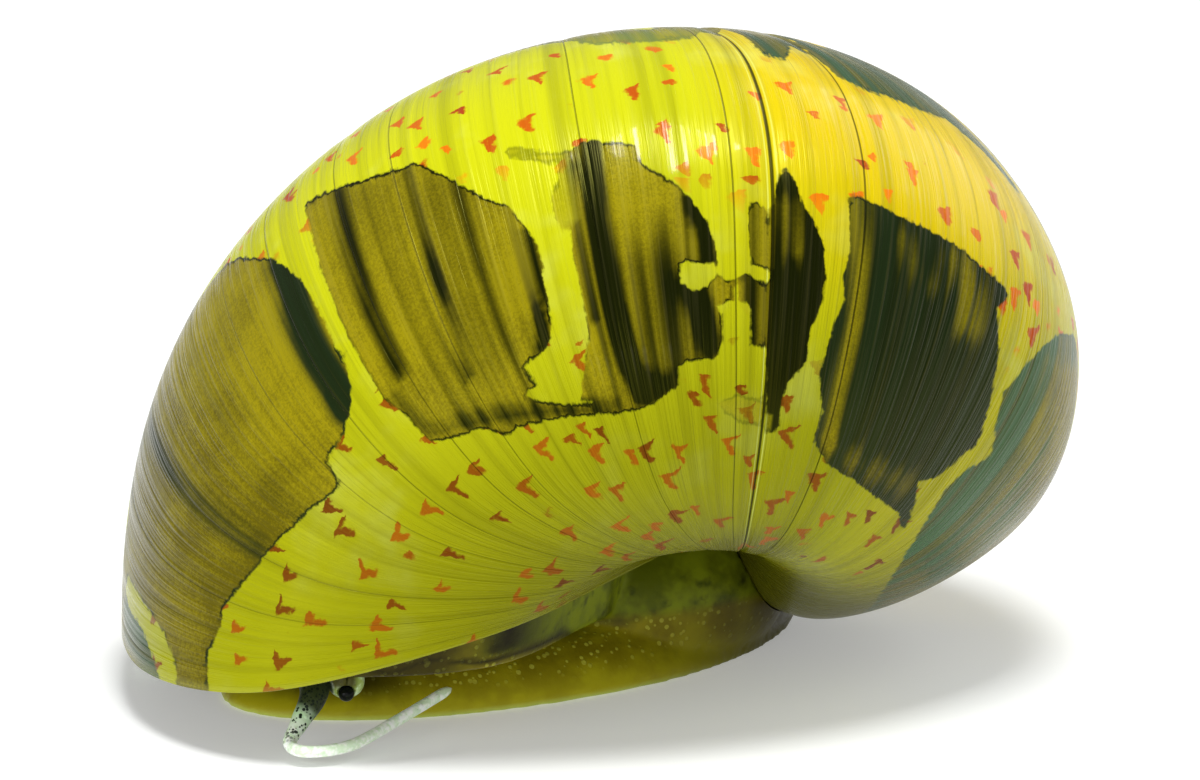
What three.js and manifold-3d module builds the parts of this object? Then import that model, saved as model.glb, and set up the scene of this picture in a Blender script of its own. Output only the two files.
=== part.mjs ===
// Nerite snail, life size, standing still on a flat floor.
// Millimetres, +Z up. The head points to -X, the animal's left side is -Y, and the sole is at Z = 0.

import * as THREE from 'three';
import { mergeVertices } from 'three/addons/utils/BufferGeometryUtils.js';
import Module from 'manifold-3d';

const wasm = await Module();
wasm.setup();

const v3 = ( x, y, z ) => new THREE.Vector3( x, y, z );
const ball = ( radius ) => v3( radius, radius, radius );

// Shell: the growing edge turns about one axis and shrinks towards the apex as it goes back in time.

const APEX = v3( 11.0, 3.3, 11.2 );
const AXIS_END = v3( - 1.6, - 4.5, 3.6 );
const WHORL_RATIO = 2.7;
const FULL_TURN = 360;
const OLDEST_TURN = 1080;
const WHORL_LENGTH = 60;
const LIP_POINTS = [
	AXIS_END,
	v3( - 7.7, - 6.4, 3.1 ),
	v3( - 12.4, - 3.6, 1.8 ),
	v3( - 12.8, 1.4, 1.3 ),
	v3( - 9.2, 7.2, 1.3 ),
	v3( - 4.1, 9.5, 1.4 ),
	v3( 1.5, 9.1, 1.4 ),
	v3( 6.1, 6.8, 1.5 ),
	v3( 7.3, 1.8, 2.8 ),
];
const LIP_START = 0.002;
const LIP_STEPS = 34;
const TURN_STEP = 7.5;
const OLD_TURN_STEP = 15;
const COLUMELLA_PROFILE = [
	[ 0, 0.1 ], [ 0.35, 0.15 ], [ 1.5, 0.45 ], [ 1.7, 0.65 ],
	[ 0.9, 0.85 ], [ 0.15, 0.995 ], [ 0, 0.995 ],
];
const COLUMELLA_SIDES = 16;
const NUCLEUS_DEPTH = 0.75;
const NUCLEUS_RADIUS = 0.62;
const COLUMELLAR_STEPS = 8;
const UNDERSIDE_HEIGHT = 1.2;
const LIP_THICKNESS = 0.8;
const RECESS_SLOPE = 0.3;
const RECESS_DEPTH = 2.2;

// Reach of the boxes that only cut.

const FAR = 25;

// Flesh and the lid that closes the shell.

const GAP = 0.3;
const FLESH_GAP = 0.2;
const SMALL_GAP = 0.12;
const SMALL_RADIUS = 0.4;
const FOOT_MIDDLE = v3( - 1.95, 0.8, 0 );
const FOOT_HALF_LENGTH = 8.45;
const FOOT_HALF_WIDTH = 4.25;
const FOOT_TAIL_POWER = 1.4;
const FOOT_HEIGHT = 1.5;
const TAIL_HEIGHT = 0.8;
const TOE_HEIGHT = 0.9;
const TAIL_SLOPE = [ - 1.5, 4 ];
const TOE_SLOPE = [ - 10.5, - 7 ];
const FOOT_SIDES = 56;
const FOOT_PROFILE = [ [ 0, 0 ], [ 0.12, - 0.04 ], [ 0.32, 0.1 ], [ 0.6, 0.38 ], [ 0.84, 0.8 ], [ 1, 1.5 ] ];
const FOOT_LENGTHS = [ [ 'front', - FAR, - 5 ], [ 'middle', - 5, 0.8 ], [ 'tail', 0.8, FAR ] ];
const MANTLE_INSET = LIP_THICKNESS + 0.35;
const MANTLE_BOTTOM = FOOT_HEIGHT + GAP;
const MANTLE_EDGE = 0.3;
const MANTLE_FRONT = - 6.5;
const HEAD_MIDDLE = v3( - 8.4, 0.6, 2.45 );
const HEAD_RADII = v3( 2.15, 2.7, 0.68 );
const SNOUT_MIDDLE = v3( - 10.35, 0.6, 1.75 );
const SNOUT_RADII = v3( 0.95, 1.5, 0.5 );
const EYE_MIDDLE = v3( - 10.1, - 3.55, 1.36 );
const EYE_RADIUS = 0.2;
const EYE_CUP_RADIUS = 0.4;
const EYE_CUP_SETBACK = 0.28;
const EYE_STALK_ROOT = v3( - 9.25, - 2.0, 2.0 );
const EYE_OUTWARD = v3( - 0.5, - 0.85, - 0.1 ).normalize();
const FEELER_ROOT_RADIUS = 0.28;
const FEELER_RADIUS = 0.25;
const FEELER_TIP_RADIUS = 0.2;
const FEELER_ROOT_SHARE = 0.3;
const FEELER_END_SHARE = 0.03;
const FEELER_END_RADIUS_SHARE = 0.2;
const FEELER_SIDES = 12;
const FEELER_STEPS = 14;
const LEFT_FEELER = [
	v3( - 9.75, - 1.25, 2.2 ), v3( - 10.65, - 3.0, 1.45 ), v3( - 11.32, - 3.35, 0.8 ), v3( - 11.85, - 3.7, 0.42 ),
	v3( - 11.75, - 4.35, 0.36 ), v3( - 10.7, - 4.6, 0.4 ), v3( - 9.06, - 4.1, 0.6 ), v3( - 7.05, - 3.6, 1.0 ),
];
const RIGHT_FEELER = [
	v3( - 9.75, 2.45, 2.2 ), v3( - 10.2, 3.6, 1.45 ), v3( - 10.3, 4.7, 0.78 ), v3( - 9.9, 5.5, 0.47 ),
	v3( - 8.8, 6.05, 0.38 ), v3( - 7.3, 6.3, 0.42 ), v3( - 5.7, 6.3, 0.6 ), v3( - 4.2, 6.0, 0.9 ),
];
const FEELER_LENGTHS = [ [ 'base', 0, 0.34 ], [ 'middle', 0.34, 0.67 ], [ 'tip', 0.67, 1 ] ];
const LID_MIDDLE = v3( 2.3, - 0.2, 1.5 );
const LID_THICKNESS = 0.45;
const LID_LENGTH = 6.6;
const LID_WIDTH = 3.2;

const material = ( color, roughness ) => new THREE.MeshStandardMaterial( { color, roughness, metalness: 0 } );
const SHELL_FINISH = material( 0xb9b21c, 0.3 );
const FOOT_FINISH = material( 0x6a5a16, 0.55 );
const MANTLE_FINISH = material( 0x4c5a1e, 0.5 );
const HEAD_FINISH = material( 0x4f4a1a, 0.5 );
const STALK_FINISH = material( 0xb7c48c, 0.5 );
const FEELER_FINISH = material( 0xa4b596, 0.45 );
const EYE_FINISH = material( 0x080a08, 0.1 );
const LID_FINISH = material( 0x4a3c20, 0.4 );

// Closed meshes and solids.

function middleOf( points ) {

	return points.reduce( ( sum, p ) => sum.add( p ), v3( 0, 0, 0 ) ).multiplyScalar( 1 / points.length );

}

function closedGeometry( points, faces ) {

	const geometry = new THREE.BufferGeometry();
	geometry.setAttribute( 'position', new THREE.Float32BufferAttribute( points.flatMap( ( p ) => p.toArray() ), 3 ) );
	geometry.setIndex( faces.flat() );
	return geometry;

}

function signedVolume( position, index ) {

	const a = v3( 0, 0, 0 ), b = v3( 0, 0, 0 ), c = v3( 0, 0, 0 );
	let volume = 0;
	for ( let i = 0; i < index.length; i += 3 ) {

		a.fromArray( position, 3 * index[ i ] );
		b.fromArray( position, 3 * index[ i + 1 ] );
		c.fromArray( position, 3 * index[ i + 2 ] );
		volume += a.dot( b.cross( c ) ) / 6;

	}

	return volume;

}

function solidFrom( geometry ) {

	const bare = geometry.clone();
	bare.deleteAttribute( 'normal' );
	bare.deleteAttribute( 'uv' );
	const merged = mergeVertices( bare, 1e-5 );
	const vertProperties = Float32Array.from( merged.attributes.position.array );
	const triVerts = Uint32Array.from( merged.index.array );
	if ( signedVolume( vertProperties, triVerts ) < 0 ) {

		for ( let i = 0; i < triVerts.length; i += 3 ) triVerts.subarray( i, i + 3 ).reverse();

	}

	return new wasm.Manifold( new wasm.Mesh( { numProp: 3, vertProperties, triVerts } ) );

}

function largestBody( solid ) {

	return solid.decompose().reduce( ( best, body ) => body.volume() > best.volume() ? body : best );

}

function meshOf( name, solid, finish ) {

	const { vertProperties, triVerts } = largestBody( solid ).getMesh();
	const geometry = new THREE.BufferGeometry();
	geometry.setAttribute( 'position', new THREE.Float32BufferAttribute( vertProperties, 3 ) );
	geometry.setIndex( Array.from( triVerts ) );
	geometry.computeVertexNormals();
	const mesh = new THREE.Mesh( geometry, finish );
	mesh.name = name;
	return mesh;

}

function box( low, high ) {

	const size = high.clone().sub( low );
	const middle = low.clone().add( high ).multiplyScalar( 0.5 );
	return solidFrom( new THREE.BoxGeometry( size.x, size.y, size.z ).translate( middle.x, middle.y, middle.z ) );

}

function ellipsoid( middle, radii, grow = 0 ) {

	const fine = Math.min( radii.x, radii.z ) > SMALL_RADIUS;
	const geometry = new THREE.SphereGeometry( 1, fine ? 32 : 16, fine ? 16 : 10 );
	geometry.scale( radii.x + grow, radii.y + grow, radii.z + grow );
	return solidFrom( geometry.translate( middle.x, middle.y, middle.z ) );

}

function loft( rings ) {

	const sides = rings[ 0 ].length;
	const points = rings.flat();
	const faces = [];
	for ( let r = 0; r < rings.length - 1; r ++ ) {

		for ( let i = 0; i < sides; i ++ ) {

			const a = r * sides + i, b = r * sides + ( i + 1 ) % sides;
			faces.push( [ a, b, b + sides ], [ a, b + sides, a + sides ] );

		}

	}

	const ends = [ [ rings[ 0 ], 0, true ], [ rings.at( - 1 ), ( rings.length - 1 ) * sides, false ] ];
	for ( const [ ring, first, turned ] of ends ) {

		const hub = points.push( middleOf( ring ) ) - 1;
		for ( let i = 0; i < sides; i ++ ) {

			const a = first + i, b = first + ( i + 1 ) % sides;
			faces.push( turned ? [ b, a, hub ] : [ a, b, hub ] );

		}

	}

	return solidFrom( closedGeometry( points, faces ) );

}

// Shell.

const axis = AXIS_END.clone().sub( APEX );
const axisDirection = axis.clone().normalize();
const lipCurve = new THREE.CatmullRomCurve3( LIP_POINTS, false, 'catmullrom', 0.5 );

function grownBack( point, degrees ) {

	const offset = point.clone().sub( APEX ).applyAxisAngle( axisDirection, - THREE.MathUtils.degToRad( degrees ) );
	return offset.multiplyScalar( WHORL_RATIO ** ( - degrees / FULL_TURN ) ).add( APEX );

}

function lipLoop() {

	const shares = Array.from( { length: LIP_STEPS + 1 }, ( _, i ) => i / LIP_STEPS );
	const loop = shares.map( ( share ) => lipCurve.getPoint( THREE.MathUtils.lerp( LIP_START, 1, share ) ) );
	const first = loop[ 0 ], last = loop.at( - 1 );
	for ( let i = 1; i < COLUMELLAR_STEPS; i ++ ) loop.push( last.clone().lerp( first, i / COLUMELLAR_STEPS ) );
	return loop;

}

function whorlLength( from, to, turnStep ) {

	const rings = [];
	for ( let turn = from; turn <= to; turn += turnStep ) rings.push( lipLoop().map( ( p ) => grownBack( p, turn ) ) );
	return loft( rings );

}

const apertureMiddle = middleOf( lipLoop() );

function insetLoop( inset, rise ) {

	return lipLoop().map( ( p ) => {

		const inward = apertureMiddle.clone().sub( p ).setZ( 0 ).normalize();
		return p.clone().addScaledVector( inward, inset ).add( v3( 0, 0, rise ) );

	} );

}

function recess() {

	return loft( [
		insetLoop( LIP_THICKNESS - RECESS_SLOPE, - RECESS_DEPTH ),
		insetLoop( LIP_THICKNESS + RECESS_SLOPE, RECESS_DEPTH ),
	] );

}

function columella() {

	const profile = COLUMELLA_PROFILE.map( ( [ radius, share ] ) => new THREE.Vector2( radius, share * axis.length() ) );
	const geometry = new THREE.LatheGeometry( profile, COLUMELLA_SIDES );
	geometry.applyQuaternion( new THREE.Quaternion().setFromUnitVectors( v3( 0, 1, 0 ), axisDirection ) );
	return solidFrom( geometry.translate( APEX.x, APEX.y, APEX.z ) );

}

function nucleus() {

	return ellipsoid( APEX.clone().addScaledVector( axisDirection, NUCLEUS_DEPTH ), ball( NUCLEUS_RADIUS ) );

}

function shell() {

	let solid = columella().add( nucleus() );
	for ( let turn = 0; turn < OLDEST_TURN; turn += WHORL_LENGTH ) {

		const turnStep = turn < FULL_TURN ? TURN_STEP : OLD_TURN_STEP;
		solid = solid.add( whorlLength( turn, turn + WHORL_LENGTH, turnStep ) );

	}

	return solid.subtract( recess() ).subtract( box( ball( - FAR ), v3( FAR, FAR, UNDERSIDE_HEIGHT ) ) );

}

// Foot: an oval sole whose side leans in and up to the shell.

function footHeight( x ) {

	const tail = THREE.MathUtils.smoothstep( x, ...TAIL_SLOPE );
	const toe = 1 - THREE.MathUtils.smoothstep( x, ...TOE_SLOPE );
	return FOOT_HEIGHT + ( TAIL_HEIGHT - FOOT_HEIGHT ) * tail + ( TOE_HEIGHT - FOOT_HEIGHT ) * toe;

}

function footRing( rise, inset ) {

	return Array.from( { length: FOOT_SIDES }, ( _, i ) => {

		const turn = i / FOOT_SIDES * 2 * Math.PI;
		const along = Math.cos( turn ), power = along > 0 ? FOOT_TAIL_POWER : 1;
		const across = Math.abs( Math.sin( turn ) ) ** power * Math.sign( Math.sin( turn ) );
		const x = FOOT_MIDDLE.x + ( FOOT_HALF_LENGTH - inset ) * along;
		return v3( x, FOOT_MIDDLE.y + ( FOOT_HALF_WIDTH - inset ) * across, rise * footHeight( x ) );

	} );

}

function foot() {

	return loft( FOOT_PROFILE.map( ( [ rise, inset ] ) => footRing( rise, inset ) ) );

}

function slab( from, to ) {

	return box( v3( from, - FAR, - FAR ), v3( to, FAR, FAR ) );

}

// Mantle: the flesh that fills the shell's mouth between the shell and the foot.

function mantle() {

	const whole = loft( [
		insetLoop( MANTLE_INSET, 0 ).map( ( p ) => p.setZ( MANTLE_BOTTOM ) ),
		insetLoop( MANTLE_INSET, 0 ).map( ( p ) => p.setZ( Math.max( p.z, MANTLE_BOTTOM + MANTLE_EDGE ) ) ),
		insetLoop( MANTLE_INSET + RECESS_SLOPE, RECESS_DEPTH - GAP ),
	] );
	return whole.subtract( slab( - FAR, MANTLE_FRONT ) ).subtract( lid( GAP ) );

}

// Lid: the half-moon plate behind the foot that closes the mouth when the animal draws in.

function lid( grow = 0 ) {

	const along = lipLoop().at( LIP_STEPS ).sub( AXIS_END ).setZ( 0 ).normalize();
	const half = LID_LENGTH / 2 + grow;
	const outline = new THREE.Shape();
	outline.absellipse( 0, 0, half, LID_WIDTH + grow, 0, Math.PI, false, 0 );
	outline.lineTo( half, - grow );
	const depth = LID_THICKNESS + 2 * grow;
	const geometry = new THREE.ExtrudeGeometry( outline, { depth, bevelEnabled: false, curveSegments: 24 } );
	geometry.translate( 0, 0, - grow );
	geometry.rotateZ( Math.atan2( along.y, along.x ) );
	return solidFrom( geometry.translate( ...LID_MIDDLE.toArray() ) );

}

// Head.

const unmoved = ( p ) => p.clone();
const mirrored = ( p ) => v3( p.x, 2 * HEAD_MIDDLE.y - p.y, p.z );

function head() {

	return ellipsoid( HEAD_MIDDLE, HEAD_RADII ).subtract( slab( MANTLE_FRONT - FLESH_GAP, FAR ) );

}

function snout() {

	return ellipsoid( SNOUT_MIDDLE, SNOUT_RADII ).subtract( ellipsoid( HEAD_MIDDLE, HEAD_RADII, FLESH_GAP ) );

}

function eyeStalk( side ) {

	const root = side( EYE_STALK_ROOT );
	const eye = side( EYE_MIDDLE );
	const tip = side( EYE_MIDDLE.clone().addScaledVector( EYE_OUTWARD, - EYE_CUP_SETBACK ) );
	const along = tip.clone().sub( root );
	const geometry = new THREE.CapsuleGeometry( EYE_CUP_RADIUS, along.length(), 6, 20 );
	geometry.applyQuaternion( new THREE.Quaternion().setFromUnitVectors( v3( 0, 1, 0 ), along.clone().normalize() ) );
	const middle = root.clone().add( tip ).multiplyScalar( 0.5 );
	return solidFrom( geometry.translate( middle.x, middle.y, middle.z ) )
		.subtract( ellipsoid( HEAD_MIDDLE, HEAD_RADII, FLESH_GAP ) )
		.subtract( ellipsoid( eye, ball( EYE_RADIUS ), SMALL_GAP ) );

}

function eye( side ) {

	return ellipsoid( side( EYE_MIDDLE ), ball( EYE_RADIUS ) );

}

function feelerRadius( t ) {

	const root = Math.min( 1, t / FEELER_ROOT_SHARE );
	const rest = Math.max( 0, ( t - FEELER_ROOT_SHARE ) / ( 1 - FEELER_ROOT_SHARE ) );
	const narrowing = THREE.MathUtils.lerp( FEELER_ROOT_RADIUS, FEELER_RADIUS, root );
	const body = narrowing + ( FEELER_TIP_RADIUS - FEELER_RADIUS ) * rest;
	const end = Math.min( 1, ( 1 - t ) / FEELER_END_SHARE );
	return body * Math.max( Math.sqrt( 1 - ( 1 - end ) ** 2 ), FEELER_END_RADIUS_SHARE );

}

function feelerLength( points, from, to ) {

	const curve = new THREE.CatmullRomCurve3( points );
	const half = SMALL_GAP / 2 / curve.getLength();
	const start = from > 0 ? from + half : 0, end = to < 1 ? to - half : 1;
	const steps = FEELER_STEPS * FEELER_LENGTHS.length;
	const frames = curve.computeFrenetFrames( steps, false );
	const rings = [];
	for ( let i = 0; i <= FEELER_STEPS; i ++ ) {

		const t = start + ( end - start ) * i / FEELER_STEPS;
		const centre = curve.getPointAt( t );
		const k = Math.min( Math.round( t * steps ), steps );
		const tangent = curve.getTangentAt( t );
		const normal = frames.normals[ k ].clone().projectOnPlane( tangent ).normalize();
		const binormal = tangent.clone().cross( normal );
		const radius = feelerRadius( t );
		rings.push( Array.from( { length: FEELER_SIDES }, ( _, j ) => {

			const turn = j / FEELER_SIDES * 2 * Math.PI;
			const out = normal.clone().multiplyScalar( Math.cos( turn ) ).addScaledVector( binormal, Math.sin( turn ) );
			return centre.clone().addScaledVector( out, radius );

		} ) );

	}

	const tube = loft( rings );
	return from > 0 ? tube : tube.subtract( ellipsoid( HEAD_MIDDLE, HEAD_RADII, FLESH_GAP ) );

}

// The snail.

const snail = new THREE.Group();
const wholeFoot = foot();
snail.add( meshOf( 'shell', shell(), SHELL_FINISH ) );
snail.add( meshOf( 'mantle', mantle(), MANTLE_FINISH ) );
snail.add( meshOf( 'operculum', lid(), LID_FINISH ) );
snail.add( meshOf( 'head', head(), HEAD_FINISH ) );
snail.add( meshOf( 'snout', snout(), HEAD_FINISH ) );

for ( const [ name, from, to ] of FOOT_LENGTHS ) {

	const length = wholeFoot.intersect( slab( from + FLESH_GAP / 2, to - FLESH_GAP / 2 ) );
	snail.add( meshOf( `foot_${ name }`, length, FOOT_FINISH ) );

}

for ( const [ name, side, points ] of [ [ 'left', unmoved, LEFT_FEELER ], [ 'right', mirrored, RIGHT_FEELER ] ] ) {

	snail.add( meshOf( `eye_stalk_${ name }`, eyeStalk( side ), STALK_FINISH ) );
	snail.add( meshOf( `eye_${ name }`, eye( side ), EYE_FINISH ) );
	for ( const [ length, from, to ] of FEELER_LENGTHS ) {

		snail.add( meshOf( `tentacle_${ name }_${ length }`, feelerLength( points, from, to ), FEELER_FINISH ) );

	}

}

export default snail;
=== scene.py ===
"""Nerite snail, life size: its visible surfaces, their finishes, the camera and the studio."""

import logging
import math
from dataclasses import dataclass, field
from enum import Enum
from functools import cache
from typing import Callable, Mapping, Sequence, Union

import bmesh
import bpy
import numpy as np
from mathutils import Matrix, Vector, noise
from mathutils.bvhtree import BVHTree


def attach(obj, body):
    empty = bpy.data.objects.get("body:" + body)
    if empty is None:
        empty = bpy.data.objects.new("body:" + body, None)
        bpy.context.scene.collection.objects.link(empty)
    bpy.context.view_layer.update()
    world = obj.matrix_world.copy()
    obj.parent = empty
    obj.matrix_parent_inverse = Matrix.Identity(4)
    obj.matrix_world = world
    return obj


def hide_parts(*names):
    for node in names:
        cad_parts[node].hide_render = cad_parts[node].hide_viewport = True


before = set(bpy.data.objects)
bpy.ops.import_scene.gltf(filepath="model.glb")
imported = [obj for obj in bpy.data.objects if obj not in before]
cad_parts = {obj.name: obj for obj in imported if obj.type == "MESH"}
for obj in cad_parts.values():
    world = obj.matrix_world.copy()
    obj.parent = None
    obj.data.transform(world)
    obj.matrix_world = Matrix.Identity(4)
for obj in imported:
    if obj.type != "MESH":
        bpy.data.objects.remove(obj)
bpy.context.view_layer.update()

MM = 0.001
BODY = "root"
SOFT_PARTS = ("mantle", "head", "snout", "foot", "tentacle", "eye_stalk")
NOISE_MIDDLE = 0.5
log = logging.getLogger("nerite")

Point = tuple[float, float, float]
Pixel = tuple[float, float]
Colour = tuple[float, float, float, float]
Socket = bpy.types.NodeSocket
Input = Union[Socket, float, Sequence[float]]
Radius = Callable[[float], float]


class Slot(Enum):
    """The record's material slots, one named for each new piece."""

    SHELL = "shell"
    LID = "operculum"
    FLESH = "foot"
    EYE = "eye"


class Side(Enum):
    """The animal's two sides, by the sign of Y."""

    LEFT = -1
    RIGHT = 1


def catmull_rom(points: Sequence[Point], share: float) -> Vector:
    """Finds a point on the smooth curve through some points.

    Args:
        points: The points that the curve passes through.
        share: How far along the curve, from 0 to 1.

    Returns:
        The place on the curve.
    """
    knots = [Vector(point) for point in points]
    knots = [2 * knots[0] - knots[1], *knots, 2 * knots[-1] - knots[-2]]
    along = min(max(share, 0.0), 1.0) * (len(points) - 1)
    first = min(int(along), len(points) - 2)
    t = along - first
    a, b, c, d = knots[first:first + 4]
    start, end = (c - a) / 2, (d - b) / 2
    return (2 * b - 2 * c + start + end) * t**3 + (3 * c - 3 * b - 2 * start - end) * t**2 + start * t + b


@dataclass(frozen=True)
class Ramp:
    """An eased change from start, at the low limit, to end, at the high limit."""

    low: float
    high: float
    start: float = 0.0
    end: float = 1.0

    def at(self, value: np.ndarray) -> np.ndarray:
        """Returns the eased results for some values."""
        share = np.clip((value - self.low) / (self.high - self.low), 0.0, 1.0)
        return self.start + (self.end - self.start) * share * share * (3 - 2 * share)


@dataclass(frozen=True)
class Cloud:
    """One noise: how fine it is, how many finer layers it has and how strong those are."""

    scale: float
    detail: float = 2.0
    roughness: float = 0.5


def distance_to_path(pixels: np.ndarray, path: Sequence[Pixel]) -> tuple[np.ndarray, np.ndarray]:
    """Measures how far each place is from an open path of straight lengths.

    Args:
        pixels: Places in the photograph's frame.
        path: The path's corners in the same frame.

    Returns:
        The distances in pixels, and how far to the right the nearest part lies.
    """
    nearest, rightward = np.full(len(pixels), np.inf), np.zeros(len(pixels))
    for start, end in zip(path[:-1], path[1:]):
        origin, run = np.array(start), np.subtract(end, start)
        share = np.clip((pixels - origin) @ run / (run @ run), 0.0, 1.0)
        towards = origin + share[:, None] * run - pixels
        reach = np.linalg.norm(towards, axis=1)
        rightward = np.where(reach < nearest, towards[:, 0], rightward)
        nearest = np.minimum(nearest, reach)
    return nearest, rightward


def distance_inside(pixels: np.ndarray, outline: Sequence[Pixel]) -> tuple[np.ndarray, np.ndarray]:
    """Measures how deep each place lies inside a closed outline.

    Args:
        pixels: Places in the photograph's frame.
        outline: The outline's corners in the same frame.

    Returns:
        The distances to the outline in pixels, positive inside, and how squarely it lies to the right.
    """
    closed = [*outline, outline[0]]
    inside = np.zeros(len(pixels), dtype=bool)
    for (ax, ay), (bx, by) in zip(closed[:-1], closed[1:]):
        spans = (ay > pixels[:, 1]) != (by > pixels[:, 1])
        slope = (bx - ax) / (by - ay) if by != ay else 0.0
        inside ^= spans & (pixels[:, 0] < ax + slope * (pixels[:, 1] - ay))
    nearest, rightward = distance_to_path(pixels, closed)
    return np.where(inside, nearest, -nearest), rightward / (nearest + 1e-6)


@dataclass(frozen=True)
class Viewpoint:
    """Where the photograph was taken from, in millimetres and degrees."""

    azimuth: float = -35.7
    elevation: float = 14.0
    target: Point = (0.75, 1.05, 6.4)
    distance: float = 250.0
    focal_px: float = 10000.0
    width_px: float = 1200.0
    height_px: float = 780.0
    sensor: float = 36.0

    def axes(self) -> Matrix:
        """Finds the view's own directions.

        Returns:
            The right, up and back directions as rows.
        """
        turn, rise = math.radians(self.azimuth), math.radians(self.elevation)
        back = Vector((math.sin(turn) * math.cos(rise), -math.cos(turn) * math.cos(rise), math.sin(rise)))
        right = Vector((math.cos(turn), math.sin(turn), 0.0))
        return Matrix((right, back.cross(right), back))

    def place(self) -> Vector:
        """Returns the eye point."""
        return Vector(self.target) + self.axes()[2] * self.distance

    def pixels(self, places: np.ndarray) -> np.ndarray:
        """Projects places in millimetres into the photograph's frame.

        Args:
            places: One place a row.

        Returns:
            One pixel coordinate a row, x to the right and y down.
        """
        seen = (places - np.array(self.target)) @ np.array(self.axes()).T
        depth = self.distance - seen[:, 2]
        across = self.width_px / 2 + self.focal_px * seen[:, 0] / depth
        down = self.height_px / 2 - self.focal_px * seen[:, 1] / depth
        return np.stack([across, down], axis=1)

    def facing(self, places: np.ndarray, normals: np.ndarray) -> np.ndarray:
        """Measures how squarely each place faces the eye point.

        Args:
            places: One place a row, in millimetres.
            normals: The surface directions there.

        Returns:
            The cosines, 1 where it faces the eye point.
        """
        towards = np.array(self.place()) - places
        towards /= np.linalg.norm(towards, axis=1)[:, None]
        return np.sum(towards * normals, axis=1)


@dataclass(frozen=True)
class Growth:
    """The rule by which the shell's edge turns and shrinks as it goes back in time."""

    apex: Point = (11.0, 3.3, 11.2)
    axis_end: Point = (-1.6, -4.5, 3.6)
    whorl_ratio: float = 2.7
    lip_points: tuple[Point, ...] = (
        (-1.6, -4.5, 3.6), (-7.7, -6.4, 3.1), (-12.4, -3.6, 1.8), (-12.8, 1.4, 1.3), (-9.2, 7.2, 1.3),
        (-4.1, 9.5, 1.4), (1.5, 9.1, 1.4), (6.1, 6.8, 1.5), (7.3, 1.8, 2.8),
    )
    lip_start: float = 0.002

    def axis(self) -> Vector:
        """Returns the coiling axis, from the apex to the mouth's inner corner."""
        return (Vector(self.axis_end) - Vector(self.apex)).normalized()

    def step(self, degrees: float) -> Matrix:
        """Makes the transform that carries the edge back by some degrees.

        Args:
            degrees: How far to turn back about the axis.

        Returns:
            The transform about the apex.
        """
        apex = Vector(self.apex)
        turn = Matrix.Rotation(-math.radians(degrees), 4, self.axis())
        shrink = Matrix.Scale(self.whorl_ratio ** (-degrees / 360), 4)
        return Matrix.Translation(apex) @ turn @ shrink @ Matrix.Translation(-apex)

    def size_at(self, degrees: np.ndarray) -> np.ndarray:
        """Returns the edge's size at some ages, as a share of today's."""
        return self.whorl_ratio ** (-degrees / 360)

    def edge_loop(self, lip_steps: int, chord_steps: int) -> list[tuple[Vector, float]]:
        """Lists the closed edge, out along the lip and back along the columella.

        Args:
            lip_steps: How many lengths the lip has.
            chord_steps: How many lengths the columellar side has.

        Returns:
            The points, each with its share across: 0 to 1 on the lip, and above 1 on the columella.
        """
        shares = [self.lip_start + (1 - self.lip_start) * i / lip_steps for i in range(lip_steps + 1)]
        loop = [(catmull_rom(self.lip_points, share), share) for share in shares]
        first, last = loop[0][0], loop[-1][0]
        for i in range(1, chord_steps):
            loop.append((last.lerp(first, i / chord_steps), 1 + i / chord_steps))
        return loop


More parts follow.
